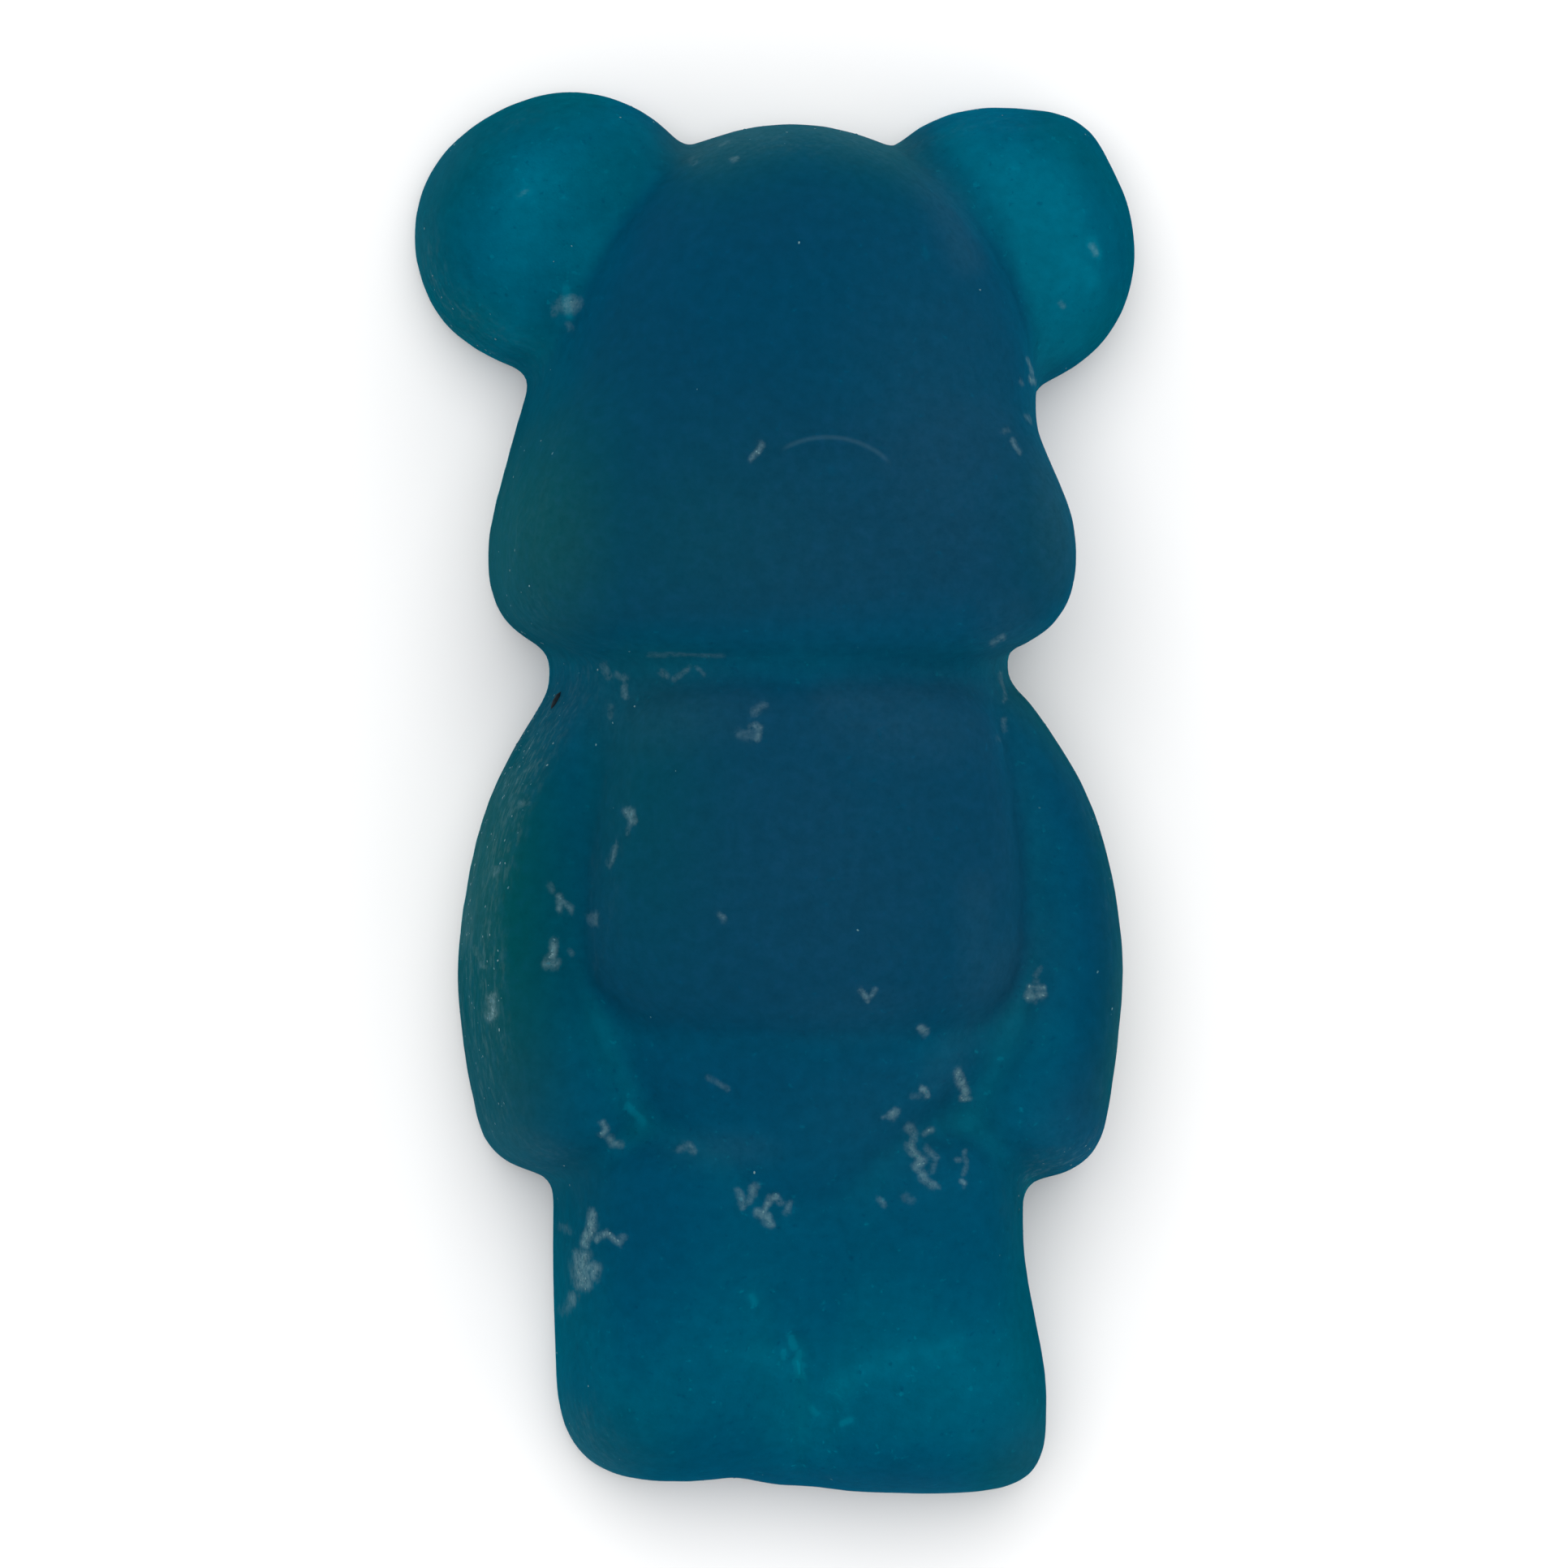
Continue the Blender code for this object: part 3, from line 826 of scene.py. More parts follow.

# How much thicker than it is the gum is painted, for painted shade, or thinner, for painted light.
# These are tones set against one picture from above, so they aren't measured thicknesses.
LIGHT_AND_SHADE_TONES = (
    # The ears.
    Patch(-6.40, 10.40, 5.5, 1.6, 90, 0.80),
    Patch(-5.00, 12.50, 4.0, 1.2, 20, 0.60),
    Patch(-4.80, 7.50, 2.6, 1.2, -60, -1.00),
    Patch(-4.60, 10.90, 2.8, 2.0, 45, -0.30),
    Patch(-5.10, 8.00, 3.0, 1.2, -30, -0.70),
    Patch(-3.20, 11.60, 2.8, 1.6, 60, 0.50),
    Patch(6.50, 10.00, 4.5, 1.4, 90, 0.80),
    Patch(4.70, 12.30, 3.6, 1.4, -10, 0.65),
    Patch(4.90, 9.90, 3.4, 2.4, 90, -0.15),
    # The head.
    Patch(0.20, 8.10, 3.6, 2.6, 0, -0.60),
    Patch(2.00, 8.30, 2.8, 3.2, 0, -0.35),
    Smear(0.50, 0.70, ((2.40, 12.10), (3.90, 10.40), (4.30, 8.60))),
    Patch(-3.90, 7.80, 4.5, 2.0, 80, 0.50),
    Patch(-1.50, 11.00, 5.0, 2.5, 0, 0.30),
    Smear(1.40, 0.90, ((-1.60, 11.90), (0.30, 12.40), (2.00, 11.90))),
    Smear(0.80, 0.60, ((-2.60, 10.40), (-1.60, 11.70))),
    Patch(-2.80, 4.80, 5.4, 4.6, 0, 0.80),
    Patch(-5.20, 6.00, 6.0, 2.4, 85, 1.00),
    # The light that gathers in the groove of the neck and round the belly.
    Patch(0.30, 2.70, 8.5, 1.2, 0, -1.50),
    Patch(-2.00, 2.40, 3.8, 1.2, 0, -0.80),
    Patch(-3.40, 2.80, 2.6, 0.9, -10, -0.60),
    Patch(0.20, -4.30, 7.0, 0.9, 0, -1.00),
    Patch(1.00, -5.40, 4.0, 3.0, 0, -0.20),
    Patch(-1.40, -6.40, 2.6, 1.2, -30, -0.70),
    Patch(2.00, -5.80, 2.6, 1.2, 50, -0.25),
    Patch(3.20, -2.80, 2.8, 2.0, 70, -0.45),
    Patch(-4.30, -6.80, 1.8, 1.0, -20, -0.60),
    Patch(4.60, -6.80, 1.8, 1.0, 20, -0.80),
    Smear(0.90, -0.20, ((3.60, -3.90), (2.90, -4.90), (2.20, -5.90))),
    Smear(0.90, -0.20, ((-3.60, -4.20), (-3.10, -5.20), (-2.60, -5.90))),
    Smear(0.80, -0.15, ((3.90, 1.50), (4.20, -0.50), (4.10, -2.50))),
    # The left half of the chest, and the arms.
    Patch(-2.40, -0.50, 7.0, 3.0, 90, 0.50),
    Patch(-4.60, -3.20, 7.5, 2.6, 90, 0.35),
    Patch(-5.70, -2.00, 9.5, 2.4, 90, 1.60),
    Patch(4.70, -3.20, 7.5, 2.4, 90, 0.65),
    Patch(6.10, -1.80, 9.0, 1.4, 90, 1.30),
    Patch(5.10, 0.60, 3.4, 1.4, -60, 0.50),
    Patch(-6.10, -2.20, 8.0, 1.4, 90, 0.90),
    Patch(-4.80, 4.60, 4.5, 2.6, 90, 0.90),
    # The legs and the feet.
    Patch(-3.00, -7.40, 2.4, 2.0, 0, 0.30),
    Patch(-4.30, -10.60, 4.0, 1.2, 90, -0.35),
    Patch(3.50, -9.20, 4.0, 1.4, 90, -0.60),
    Patch(-0.20, -9.50, 3.6, 3.0, 0, -0.25),
    Patch(-2.20, -11.30, 3.6, 2.4, 0, -0.40),
    Patch(2.40, -11.30, 3.6, 2.4, 0, -0.55),
    Patch(0.00, -12.10, 9.0, 2.2, 0, 0.80),
)

# Where a breath of starch lies on the walls, in streaks.
FROSTED = (
    Patch(-5.7, -2.5, 9.0, 3.0, 90, 1.20),
    Patch(-4.8, 0.5, 3.0, 1.4, 65, 1.40),
    Patch(-6.0, 9.0, 3.0, 1.6, -50, 0.60),
    Patch(-5.2, 12.0, 2.5, 1.2, 35, 0.25),
    Patch(-5.2, 4.8, 4.0, 1.6, 85, 0.30),
    Patch(0.8, 12.2, 6.0, 1.2, 0, 0.40),
    Patch(-5.2, -6.6, 2.4, 1.4, -35, 0.60),
    Patch(5.6, -2.0, 9.0, 1.2, 90, 0.40),
    Patch(5.0, -7.0, 2.4, 1.4, 25, 0.90),
    Patch(-3.9, -12.2, 2.2, 1.6, -45, 0.80),
    Patch(0.0, -12.8, 6.0, 0.7, 0, 0.20),
)

# Where starch lies evenly, as the share of the gum that it covers.
DUSTED = (
    # The head.
    Patch(1.00, 4.50, 8.0, 3.6, 0, 0.012),
    Patch(2.60, 6.20, 6.0, 3.2, 90, 0.018),
    Patch(4.80, 5.60, 3.5, 1.2, 90, 0.030),
    Smear(1.00, 0.055, ((-1.60, 12.10), (0.20, 12.60), (1.90, 12.10))),
    Smear(0.80, 0.025, ((2.00, 11.80), (2.80, 10.80), (3.10, 9.80))),
    Smear(0.50, 0.015, ((-5.90, 12.40), (-6.70, 10.80), (-6.80, 9.60))),
    Patch(-4.60, 4.30, 3.4, 1.8, 85, 0.020),
    Smear(0.80, 0.022, ((0.50, 1.70), (3.90, 1.90))),
    Patch(-2.40, 1.60, 3.4, 1.6, 0, 0.018),
    Patch(4.10, 2.40, 2.4, 1.4, -60, 0.030),
    # The chest, the belly and the hips.
    Patch(0.80, -1.00, 7.0, 5.5, 90, 0.010),
    Patch(2.00, 1.30, 4.0, 1.8, 0, 0.020),
    Patch(3.70, -3.40, 2.4, 1.6, 60, 0.022),
    Patch(1.00, -4.00, 3.0, 1.2, 0, 0.014),
    Patch(1.60, -5.90, 3.4, 2.4, 0, 0.010),
    Patch(-1.20, -6.50, 1.7, 0.6, 0, 0.018),
    # The arms and the feet.
    Patch(-5.20, -5.60, 3.0, 1.6, 100, 0.016),
    Patch(5.20, -6.20, 2.4, 1.4, 60, 0.016),
    Patch(5.20, 1.60, 3.4, 1.6, -60, 0.020),
    Patch(-3.80, -12.30, 2.6, 1.2, -40, 0.025),
    Patch(2.80, -12.90, 4.0, 0.8, 0, 0.010),
    Patch(4.60, -12.20, 1.6, 1.2, 40, 0.020),
    Patch(-4.90, -6.50, 1.8, 0.9, -30, 0.030),
    Smear(0.80, 0.045, ((-5.60, 0.20), (-5.90, -1.20), (-6.00, -2.40))),
    Smear(0.90, 0.018, ((3.20, -1.80), (3.30, -4.20), (2.60, -5.20))),
    Smear(1.40, 0.010, ((3.60, 2.00), (4.00, 0.00), (4.00, -2.50), (3.40, -4.40))),
    Smear(0.60, 0.040, ((6.20, 1.00), (6.50, -2.00), (6.30, -5.00))),
)

# Where the gum turns greenish.
GREENISH = (
    Patch(-5.40, -2.00, 9.5, 2.2, 90, 0.92),
    Patch(-3.00, 0.20, 5.4, 2.4, 90, 0.42),
    Patch(-4.80, 4.80, 4.5, 2.6, 85, 0.80),
    Patch(-2.60, 4.80, 4.5, 3.2, 0, 0.28),
    Patch(-4.20, -9.00, 6.0, 1.4, 90, 0.35),
    Patch(-3.80, -11.90, 3.0, 2.0, -30, 0.40),
    Patch(4.60, 4.80, 3.0, 1.4, 90, 0.25),
    Smear(1.20, 0.50, ((-3.60, 13.00), (-5.40, 12.50), (-6.60, 10.60), (-6.50, 9.20), (-5.90, 8.60))),
    Smear(1.70, 0.50, ((-1.50, 11.90), (0.20, 12.40), (1.90, 11.90))),
    Patch(-3.00, 11.80, 2.2, 1.4, 50, 0.25),
    Smear(0.90, 0.35, ((5.00, 12.40), (6.50, 11.00), (6.70, 9.40), (6.00, 8.40))),
    Smear(1.10, 0.75, ((4.60, 2.00), (6.00, 0.40), (6.60, -2.40), (6.30, -5.40))),
    Smear(1.10, 0.40, ((4.50, -7.60), (4.60, -10.00), (4.90, -12.00), (4.00, -12.60))),
)

# Where the painted shade on slopes is left out, so that slopes there look no darker than level gum.
NECK_WITHOUT_SLOPE_SHADE = Patch(0.0, 2.3, 12.0, 2.2, 0, 1.0)


@dataclass
class BearBody:
    """The gum itself: the solid's form with a soft skin, its creases and its dusty marks."""

    voxel: float = 0.125            # grain of the skin's mesh
    finer: int = 2                  # cuts in each edge of the skin round a starch mark
    softening: int = 8              # rounds that take the solid's facets away
    swell: float = 0.030            # slow unevenness of the skin
    swell_size: float = 1.9
    peel: float = 0.007             # orange peel left by the starch mould
    peel_size: float = 0.40
    contact: float = 0.5            # height below which the skin stays true to the flat back
    clearance: float = 0.018        # room kept inside the solid's box for the grains
    ray_spread: float = 38.0        # degrees round the straight way in, to feel the thickness
    ray_count: int = 6
    longest_way: float = 11.0       # a ray that finds no end counts as this long
    smears: tuple[Smear, ...] = SMEARS
    glints: tuple[Smear, ...] = GLINTS
    steep_shade_strength: float = 1.5        # painted shade: how much darker, as if thicker, the gum is painted where it slopes steeply
    glint_depth: float = 4.5        # how much thinner the gum looks in a full glint
    folds: tuple[Fold, ...] = (FEET_CREASE,)
    nose_rim: Arc = NOSE_RIM
    rim_rise: float = 0.05
    light_and_shade_tones: tuple[Patch | Smear, ...] = LIGHT_AND_SHADE_TONES
    frosted: tuple[Patch, ...] = FROSTED
    dusted: tuple[Patch | Smear, ...] = DUSTED
    greenish: tuple[Patch | Smear, ...] = GREENISH
    neck: Patch = NECK_WITHOUT_SLOPE_SHADE
    waver: float = 0.05             # how far the marks wander from a straight stroke
    waver_size: float = 0.30
    height_share: float = 0.8       # how the level gum's looks go by its height, lower gum painted lighter for the light through it
    felt_share: float = 0.2         # and by the thickness that the rays feel
    hollow_light: float = 3.0       # painted light: how much lighter, as if thinner, the gum is painted for each millimetre of hollow
    wall_depth: float = 6.0         # how thick the walls look at their middle height
    wall_middle: float = 3.0
    wall_rise: float = 0.20         # and how much thicker, so darker, for each millimetre above it: walls darker towards the top
    ear_thinness: float = 0.8       # how much thinner the ears' walls look: painted lighter, for the light through the thin ears
    frost_share: float = 0.075      # film of starch in a full breath of it
    breath_grains: float = 0.006    # grains there, as a share of a full mark's
    stray_grains: float = 0.00006   # and everywhere
    mark_grains: float = 0.14       # and in the middle of a stroke

    def build(self) -> bpy.types.Object:
        """Build the body's mesh with its traits.

        Returns:
            The body.
        """
        mesh = self.skin()
        points, normals = self.read(mesh)
        points = self.shape(points, normals)
        points = self.fit(points)
        mesh.vertices.foreach_set("co", (points * MM).ravel())
        mesh.update()
        mesh.shade_smooth()
        self.feel(mesh)
        self.refine(mesh)
        self.mark(mesh)
        body = bpy.data.objects.new("gum_body", mesh)
        bpy.context.scene.collection.objects.link(body)
        return body

    def skin(self) -> bpy.types.Mesh:
        """Copy the solid's mesh and melt its facets into an even skin.

        Returns:
            The new mesh.
        """
        merged = bmesh.new()
        merged.from_mesh(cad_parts[CAD_NODE].data)
        bmesh.ops.remove_doubles(merged, verts=merged.verts, dist=0.001 * MM)
        mesh = bpy.data.meshes.new("gum_body")
        merged.to_mesh(mesh)
        merged.free()
        draft = bpy.data.objects.new("draft", mesh)
        bpy.context.scene.collection.objects.link(draft)
        fuse = draft.modifiers.new("fuse", "REMESH")
        fuse.mode = "VOXEL"
        fuse.voxel_size = self.voxel * MM
        soften = draft.modifiers.new("soften", "SMOOTH")
        soften.factor = 0.5
        soften.iterations = self.softening
        evaluated = draft.evaluated_get(bpy.context.evaluated_depsgraph_get())
        melted = bpy.data.meshes.new_from_object(evaluated)
        melted.name = "gum_body"
        bpy.data.objects.remove(draft)
        bpy.data.meshes.remove(mesh)
        return melted

    def read(self, mesh: bpy.types.Mesh) -> tuple[np.ndarray, np.ndarray]:
        """Read the mesh's points, in millimetres, and their normals."""
        points = np.empty(len(mesh.vertices) * 3, np.float32)
        normals = np.empty(len(mesh.vertices) * 3, np.float32)
        mesh.vertices.foreach_get("co", points)
        mesh.vertices.foreach_get("normal", normals)
        return points.reshape(-1, 3) / MM, normals.reshape(-1, 3)

    def clouds(self, points: np.ndarray, size: float) -> np.ndarray:
        """Smooth noise from -1 to 1 whose clouds have that size in millimetres."""
        return np.array([noise.noise(Vector(point) / size) for point in points])

    def shape(self, points: np.ndarray, normals: np.ndarray) -> np.ndarray:
        """Give the skin its slow unevenness, its orange peel and its folds.

        Args:
            points: The skin's points, in millimetres.
            normals: Their normals.

        Returns:
            The moved points.
        """
        free = smooth_step(points[:, 2], 0.1, self.contact)
        push = self.swell * self.clouds(points, self.swell_size)
        push += self.peel * self.clouds(points, self.peel_size)
        upward = smooth_step(normals[:, 2], 0.0, 0.5)
        for fold in self.folds:
            push += fold.rise * fold.share(points) * upward
        push += self.rim_rise * replace(self.nose_rim, width=2 * self.voxel).share(points)
        return points + normals * (push * free)[:, None]

    def fit(self, points: np.ndarray) -> np.ndarray:
        """Fit the skin just inside the solid's box, lying on the same floor.

        Args:
            points: The skin's points, in millimetres.

        Returns:
            The fitted points.
        """
        low, high = (np.array(corner) / MM for corner in cad_box)
        room = high - low - self.clearance * np.array([2.0, 2.0, 1.0])
        size = points.max(axis=0) - points.min(axis=0)
        scaled = points * (room / size)
        middle = (scaled.max(axis=0) + scaled.min(axis=0)) / 2
        shift = (low + high) / 2 - middle
        shift[2] = low[2] - scaled[:, 2].min()
        return scaled + shift

    def feel(self, mesh: bpy.types.Mesh) -> None:
        """Work out the traits that the finish reads, and keep them on the mesh.

        Args:
            mesh: The body's mesh.
        """
        points, normals = self.read(mesh)
        height, upward = points[:, 2], normals[:, 2]
        top = smooth_step(upward, 0.05, 0.55)
        side = (1 - top) * smooth_step(upward, -0.7, -0.2)
        felt = self.even(mesh, self.thickness(mesh, points, normals), 6)
        # Painted light that takes the shade out of the hollows.
        hollow = np.clip(self.even(mesh, height, 40) - height, 0.0, 0.3)
        # Painted shade on the steep slopes, left out at the neck.
        slope = self.steep_shade_strength * (1 - np.clip(upward, 0.0, 1.0)) * (1 - self.neck.share(points))
        # The listed tone patches paint light and shade into the gum.
        more = np.sum([depth.share(points) for depth in self.light_and_shade_tones], axis=0)
        # Lower and thinner gum is painted lighter, for the light that comes through it.
        level = self.height_share * height + self.felt_share * felt
        seen = level + slope - self.hollow_light * hollow + more
        seen = np.maximum(seen, self.head_edge(points))
        # The walls are painted darker towards the top, and the ears' walls lighter, for the light through
        # the thin ears.
        ears = smooth_step(np.abs(points[:, 0]), 2.4, 3.4) * smooth_step(points[:, 1], 7.2, 8.6)
        rise = self.wall_rise * (height - self.wall_middle)
        walls = self.wall_depth + rise - self.ear_thinness * ears + more
        wall = smooth_step(upward, 0.70, 0.30) * smooth_step(height, 0.0, 0.8)
        frosted = np.max([patch.share(points) for patch in self.frosted], axis=0)
        breath = np.clip(wall * frosted * (0.4 + 0.6 * self.clouds(points, 0.9)), 0.0, None)
        off_floor = smooth_step(height, 0.05, 0.3)
        dusted = np.max([place.share(points) for place in self.dusted], axis=0)
        greenish = np.max([patch.share(points) for patch in self.greenish], axis=0)
        traits = {
            Trait.THICKNESS: top * seen + side * walls + (1 - top - side) * felt,
            Trait.FROST: self.frost_share * breath,
            Trait.DUSTING: dusted,
            Trait.GREEN: greenish,
            Trait.GRAINS: (self.breath_grains * breath + self.stray_grains) * off_floor,
        }
        for trait, values in traits.items():
            self.keep(mesh, trait, values)

    def keep(self, mesh: bpy.types.Mesh, trait: Trait, values: np.ndarray) -> None:
        """Write a trait's values on the mesh's points."""
        attribute = mesh.attributes.get(trait.value) or mesh.attributes.new(trait.value, "FLOAT", "POINT")
        attribute.data.foreach_set("value", values.astype(np.float32))

    def kept(self, mesh: bpy.types.Mesh, trait: Trait) -> np.ndarray:
        """Read a trait's values back from the mesh's points."""
        values = np.empty(len(mesh.vertices), np.float32)
        mesh.attributes[trait.value].data.foreach_get("value", values)
        return values

    def refine(self, mesh: bpy.types.Mesh) -> None:
        """Split the faces round the starch marks, which are finer than the skin's grain.

        Args:
            mesh: The body's mesh.
        """
        points, normals = self.read(mesh)
        near = np.zeros(len(points), bool)
        for stroke in (*self.smears, *self.glints):
            near |= stroke.near(points, self.voxel)
        near &= normals[:, 2] > 0.0
        split = bmesh.new()
        split.from_mesh(mesh)
        edges = [edge for edge in split.edges if all(near[vert.index] for vert in edge.verts)]
        bmesh.ops.subdivide_edges(split, edges=edges, cuts=self.finer, use_grid_fill=True)
        split.to_mesh(mesh)
        split.free()

    def mark(self, mesh: bpy.types.Mesh) -> None:
        """Lay the starch marks and the glints on the refined mesh.

        Args:
            mesh: The body's mesh.
        """
        points, normals = self.read(mesh)
        wander = np.zeros_like(points)
        wander[:, 0] = self.clouds(points, self.waver_size)
        wander[:, 1] = self.clouds(points + self.swell_size, self.waver_size)
        wavy = points + self.waver * wander
        scuff = np.max([smear.share(wavy) for smear in self.smears], axis=0)
        scuff *= smooth_step(normals[:, 2], -0.1, 0.3)
        glint = np.max([stroke.share(wavy) for stroke in self.glints], axis=0)
        grains = self.kept(mesh, Trait.GRAINS) + self.mark_grains * smooth_step(scuff, 0.35, 0.85)
        self.keep(mesh, Trait.SCUFF, scuff)
        self.keep(mesh, Trait.GRAINS, grains)
        self.keep(mesh, Trait.THICKNESS, self.kept(mesh, Trait.THICKNESS) - self.glint_depth * glint)

    def head_edge(self, points: np.ndarray) -> np.ndarray:
        """How thick the head is painted at least where it rises from the ears, crisp on its right side, so
        that it stays dark beside the ears' painted light.

        Args:
            points: The skin's points, in millimetres.

        Returns:
            The thickness that the head's slopes have at least.
        """
        height = points[:, 2]
        right = smooth_step(points[:, 0], -1.5, 1.5)
        rise = right * smooth_step(height, 4.35, 5.1) + (1 - right) * smooth_step(height, 4.5, 6.6)
        return (4.2 + 3.0 * rise) * smooth_step(points[:, 1], 6.6, 7.6)

    def even(self, mesh: bpy.types.Mesh, values: np.ndarray, rounds: int) -> np.ndarray:
        """Spread values over the neighbouring points.

        Args:
            mesh: The mesh that says which points are neighbours.
            values: One value for each point.
            rounds: How many times each point takes its neighbours' mean.

        Returns:
            The evened values.
        """
        edges = np.empty(len(mesh.edges) * 2, np.int32)
        mesh.edges.foreach_get("vertices", edges)
        one, other = edges.reshape(-1, 2).T
        count = len(values)
        neighbours = np.bincount(one, minlength=count) + np.bincount(other, minlength=count)
        for _ in range(rounds):
            total = np.bincount(one, values[other], count) + np.bincount(other, values[one], count)
            values = (values + total / np.maximum(neighbours, 1)) / 2
        return values

    def thickness(self, mesh: bpy.types.Mesh, points: np.ndarray, normals: np.ndarray) -> np.ndarray:
        """Feel how much gum lies under each point, with a few rays fanned round the way in.

        Args:
            mesh: The body's mesh.
            points: Its points, in millimetres.
            normals: Their normals.

        Returns:
            The mean way through the gum, in millimetres.
        """
        faces = [tuple(polygon.vertices) for polygon in mesh.polygons]
        tree = BVHTree.FromPolygons([Vector(point) for point in points], faces)
        slant = math.radians(self.ray_spread)
        fan = [(0.0, 0.0)]
        for ray in range(self.ray_count):
            turn = math.tau * ray / self.ray_count
            fan.append((math.sin(slant) * math.cos(turn), math.sin(slant) * math.sin(turn)))
        found = np.empty(len(points))
        for index, (point, normal) in enumerate(zip(points, normals)):
            outward = Vector(normal).normalized()
            side = outward.orthogonal().normalized()
            other = outward.cross(side)
            start = Vector(point) - outward * self.voxel
            total = 0.0
            for first, second in fan:
                inward = math.sqrt(1 - first * first - second * second)
                way = side * first + other * second - outward * inward
                hit = tree.ray_cast(start, way)
                reach = self.longest_way if hit[3] is None else hit[3]
                total += min(reach, self.longest_way)
            found[index] = total / len(fan)
        return found

    def dress(self, body: bpy.types.Object, finish: GumFinish) -> None:
        """Give the body its finish and its place in the frame.

        Args:
            body: The body.
            finish: What it is made of.
        """
        body.data.materials.clear()
        body.data.materials.append(finish.material())
        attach(body, CAD_BODY)
        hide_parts(CAD_NODE)


@dataclass
class StarchGrains:
    """Grains of moulding starch that cling to the skin, densest in the marks."""

    density: float = 900.0          # grains on each square millimetre of a full mark
    smallest: float = 0.012         # half of a grain's length
    largest: float = 0.036
    slimness: float = 0.62
    flatness: float = 0.34
    seed: int = 26

    def tree(self) -> bpy.types.NodeTree:
        """Build the tree that scatters the grains over a mesh.

        Returns:
            The tree, whose inputs are named for the grains' sizes.
        """
        tree = bpy.data.node_groups.new("starch_scatter", "GeometryNodeTree")
        tree.interface.new_socket("Skin", in_out="INPUT", socket_type="NodeSocketGeometry")
        for name in ("Density", "Smallest", "Largest", "Slimness", "Flatness"):
            tree.interface.new_socket(name, in_out="INPUT", socket_type="NodeSocketFloat")
        tree.interface.new_socket("Seed", in_out="INPUT", socket_type="NodeSocketInt")
        tree.interface.new_socket("Finish", in_out="INPUT", socket_type="NodeSocketMaterial")
        tree.interface.new_socket("Grains", in_out="OUTPUT", socket_type="NodeSocketGeometry")
        sketch = NodeSketch(tree)
        given = sketch.node("NodeGroupInput", {}).outputs
        amount = sketch.node(
            "GeometryNodeInputNamedAttribute", {"Name": Trait.GRAINS.value}, data_type="FLOAT"
        )
        points = sketch.node(
            "GeometryNodeDistributePointsOnFaces",
            {
                "Mesh": given["Skin"],
                "Density": sketch.maths("MULTIPLY", amount.outputs["Attribute"], given["Density"]),
                "Seed": given["Seed"],
            },
            distribute_method="RANDOM",
        )
        placed = sketch.node(
            "GeometryNodeInstanceOnPoints",
            {
                "Points": self.clumped(sketch, points.outputs["Points"]),
                "Instance": self.grain(sketch),
                "Rotation": self.turned(sketch, points.outputs["Rotation"], given["Seed"]),
                "Scale": self.sized(sketch, given),
            },
        )
        realized = sketch.node("GeometryNodeRealizeInstances", {"Geometry": placed.outputs["Instances"]})
        finished = sketch.node(
            "GeometryNodeSetMaterial",
            {"Geometry": realized.outputs["Geometry"], "Material": given["Finish"]},
        )
        sketch.node("NodeGroupOutput", {"Grains": finished.outputs["Geometry"]})
        return tree

    def clumped(self, sketch: NodeSketch, points: object) -> bpy.types.NodeSocket:
        """Drop the points that the ragged edge bites away, so that the rest stand in clumps.

        Args:
            sketch: The tree being wired.
            points: The scattered points.

        Returns:
            The points that are left.
        """
        place = sketch.node("GeometryNodeInputPosition", {}).outputs["Position"]
        scaled = sketch.node("ShaderNodeVectorMath", {"Vector": place, "Scale": 1 / MM}, operation="SCALE")
        grain = RAGGED_EDGE.noise(sketch, scaled.outputs[0])
        scuff = sketch.node(
            "GeometryNodeInputNamedAttribute", {"Name": Trait.SCUFF.value}, data_type="FLOAT"
        )
        mark = scuff.outputs["Attribute"]
        bare = sketch.maths("LESS_THAN", RAGGED_EDGE.frayed(sketch, mark, grain), 0.35)
        marked = sketch.maths("GREATER_THAN", mark, 0.1)
        left = sketch.node(
            "GeometryNodeDeleteGeometry",
            {"Geometry": points, "Selection": sketch.maths("MULTIPLY", bare, marked)},
            domain="POINT",
        )
        return left.outputs["Geometry"]

    def grain(self, sketch: NodeSketch) -> bpy.types.NodeSocket:
        """One lumpy grain, one unit in half its length."""
        ball = sketch.node("GeometryNodeMeshIcoSphere", {"Radius": 1.0, "Subdivisions": 1})
        lumps = sketch.node("ShaderNodeTexNoise", {"Scale": 1.3, "Detail": 1.0})
        centred = sketch.node("ShaderNodeVectorMath", {}, operation="SUBTRACT")
        sketch.feed(centred.inputs[0], lumps.outputs["Color"])
        sketch.feed(centred.inputs[1], (0.5, 0.5, 0.5))
        made = sketch.node(
            "GeometryNodeSetPosition",
            {"Geometry": ball.outputs["Mesh"], "Offset": centred.outputs[0]},
        )
        return made.outputs["Geometry"]

    def turned(self, sketch: NodeSketch, flat: object, seed: object) -> bpy.types.NodeSocket:
        """Turn each grain about its own upright by a random angle.

        Args:
            sketch: The tree being wired.
            flat: The turn that lays a grain flat on the skin.
            seed: What the random draw starts from.

        Returns:
            The full turn of each grain.
        """
        angle = sketch.node(
            "FunctionNodeRandomValue",
            {"Min_001": 0.0, "Max_001": math.tau, "Seed": seed},
            data_type="FLOAT",
        )
        about = sketch.node(
            "FunctionNodeAxisAngleToRotation",
            {"Axis": (0.0, 0.0, 1.0), "Angle": sketch.output(angle, "Value_001")},
        )
        both = sketch.node(
            "FunctionNodeRotateRotation",
            {"Rotation": flat, "Rotate By": about.outputs["Rotation"]},
            rotation_space="LOCAL",
        )
        return both.outputs["Rotation"]

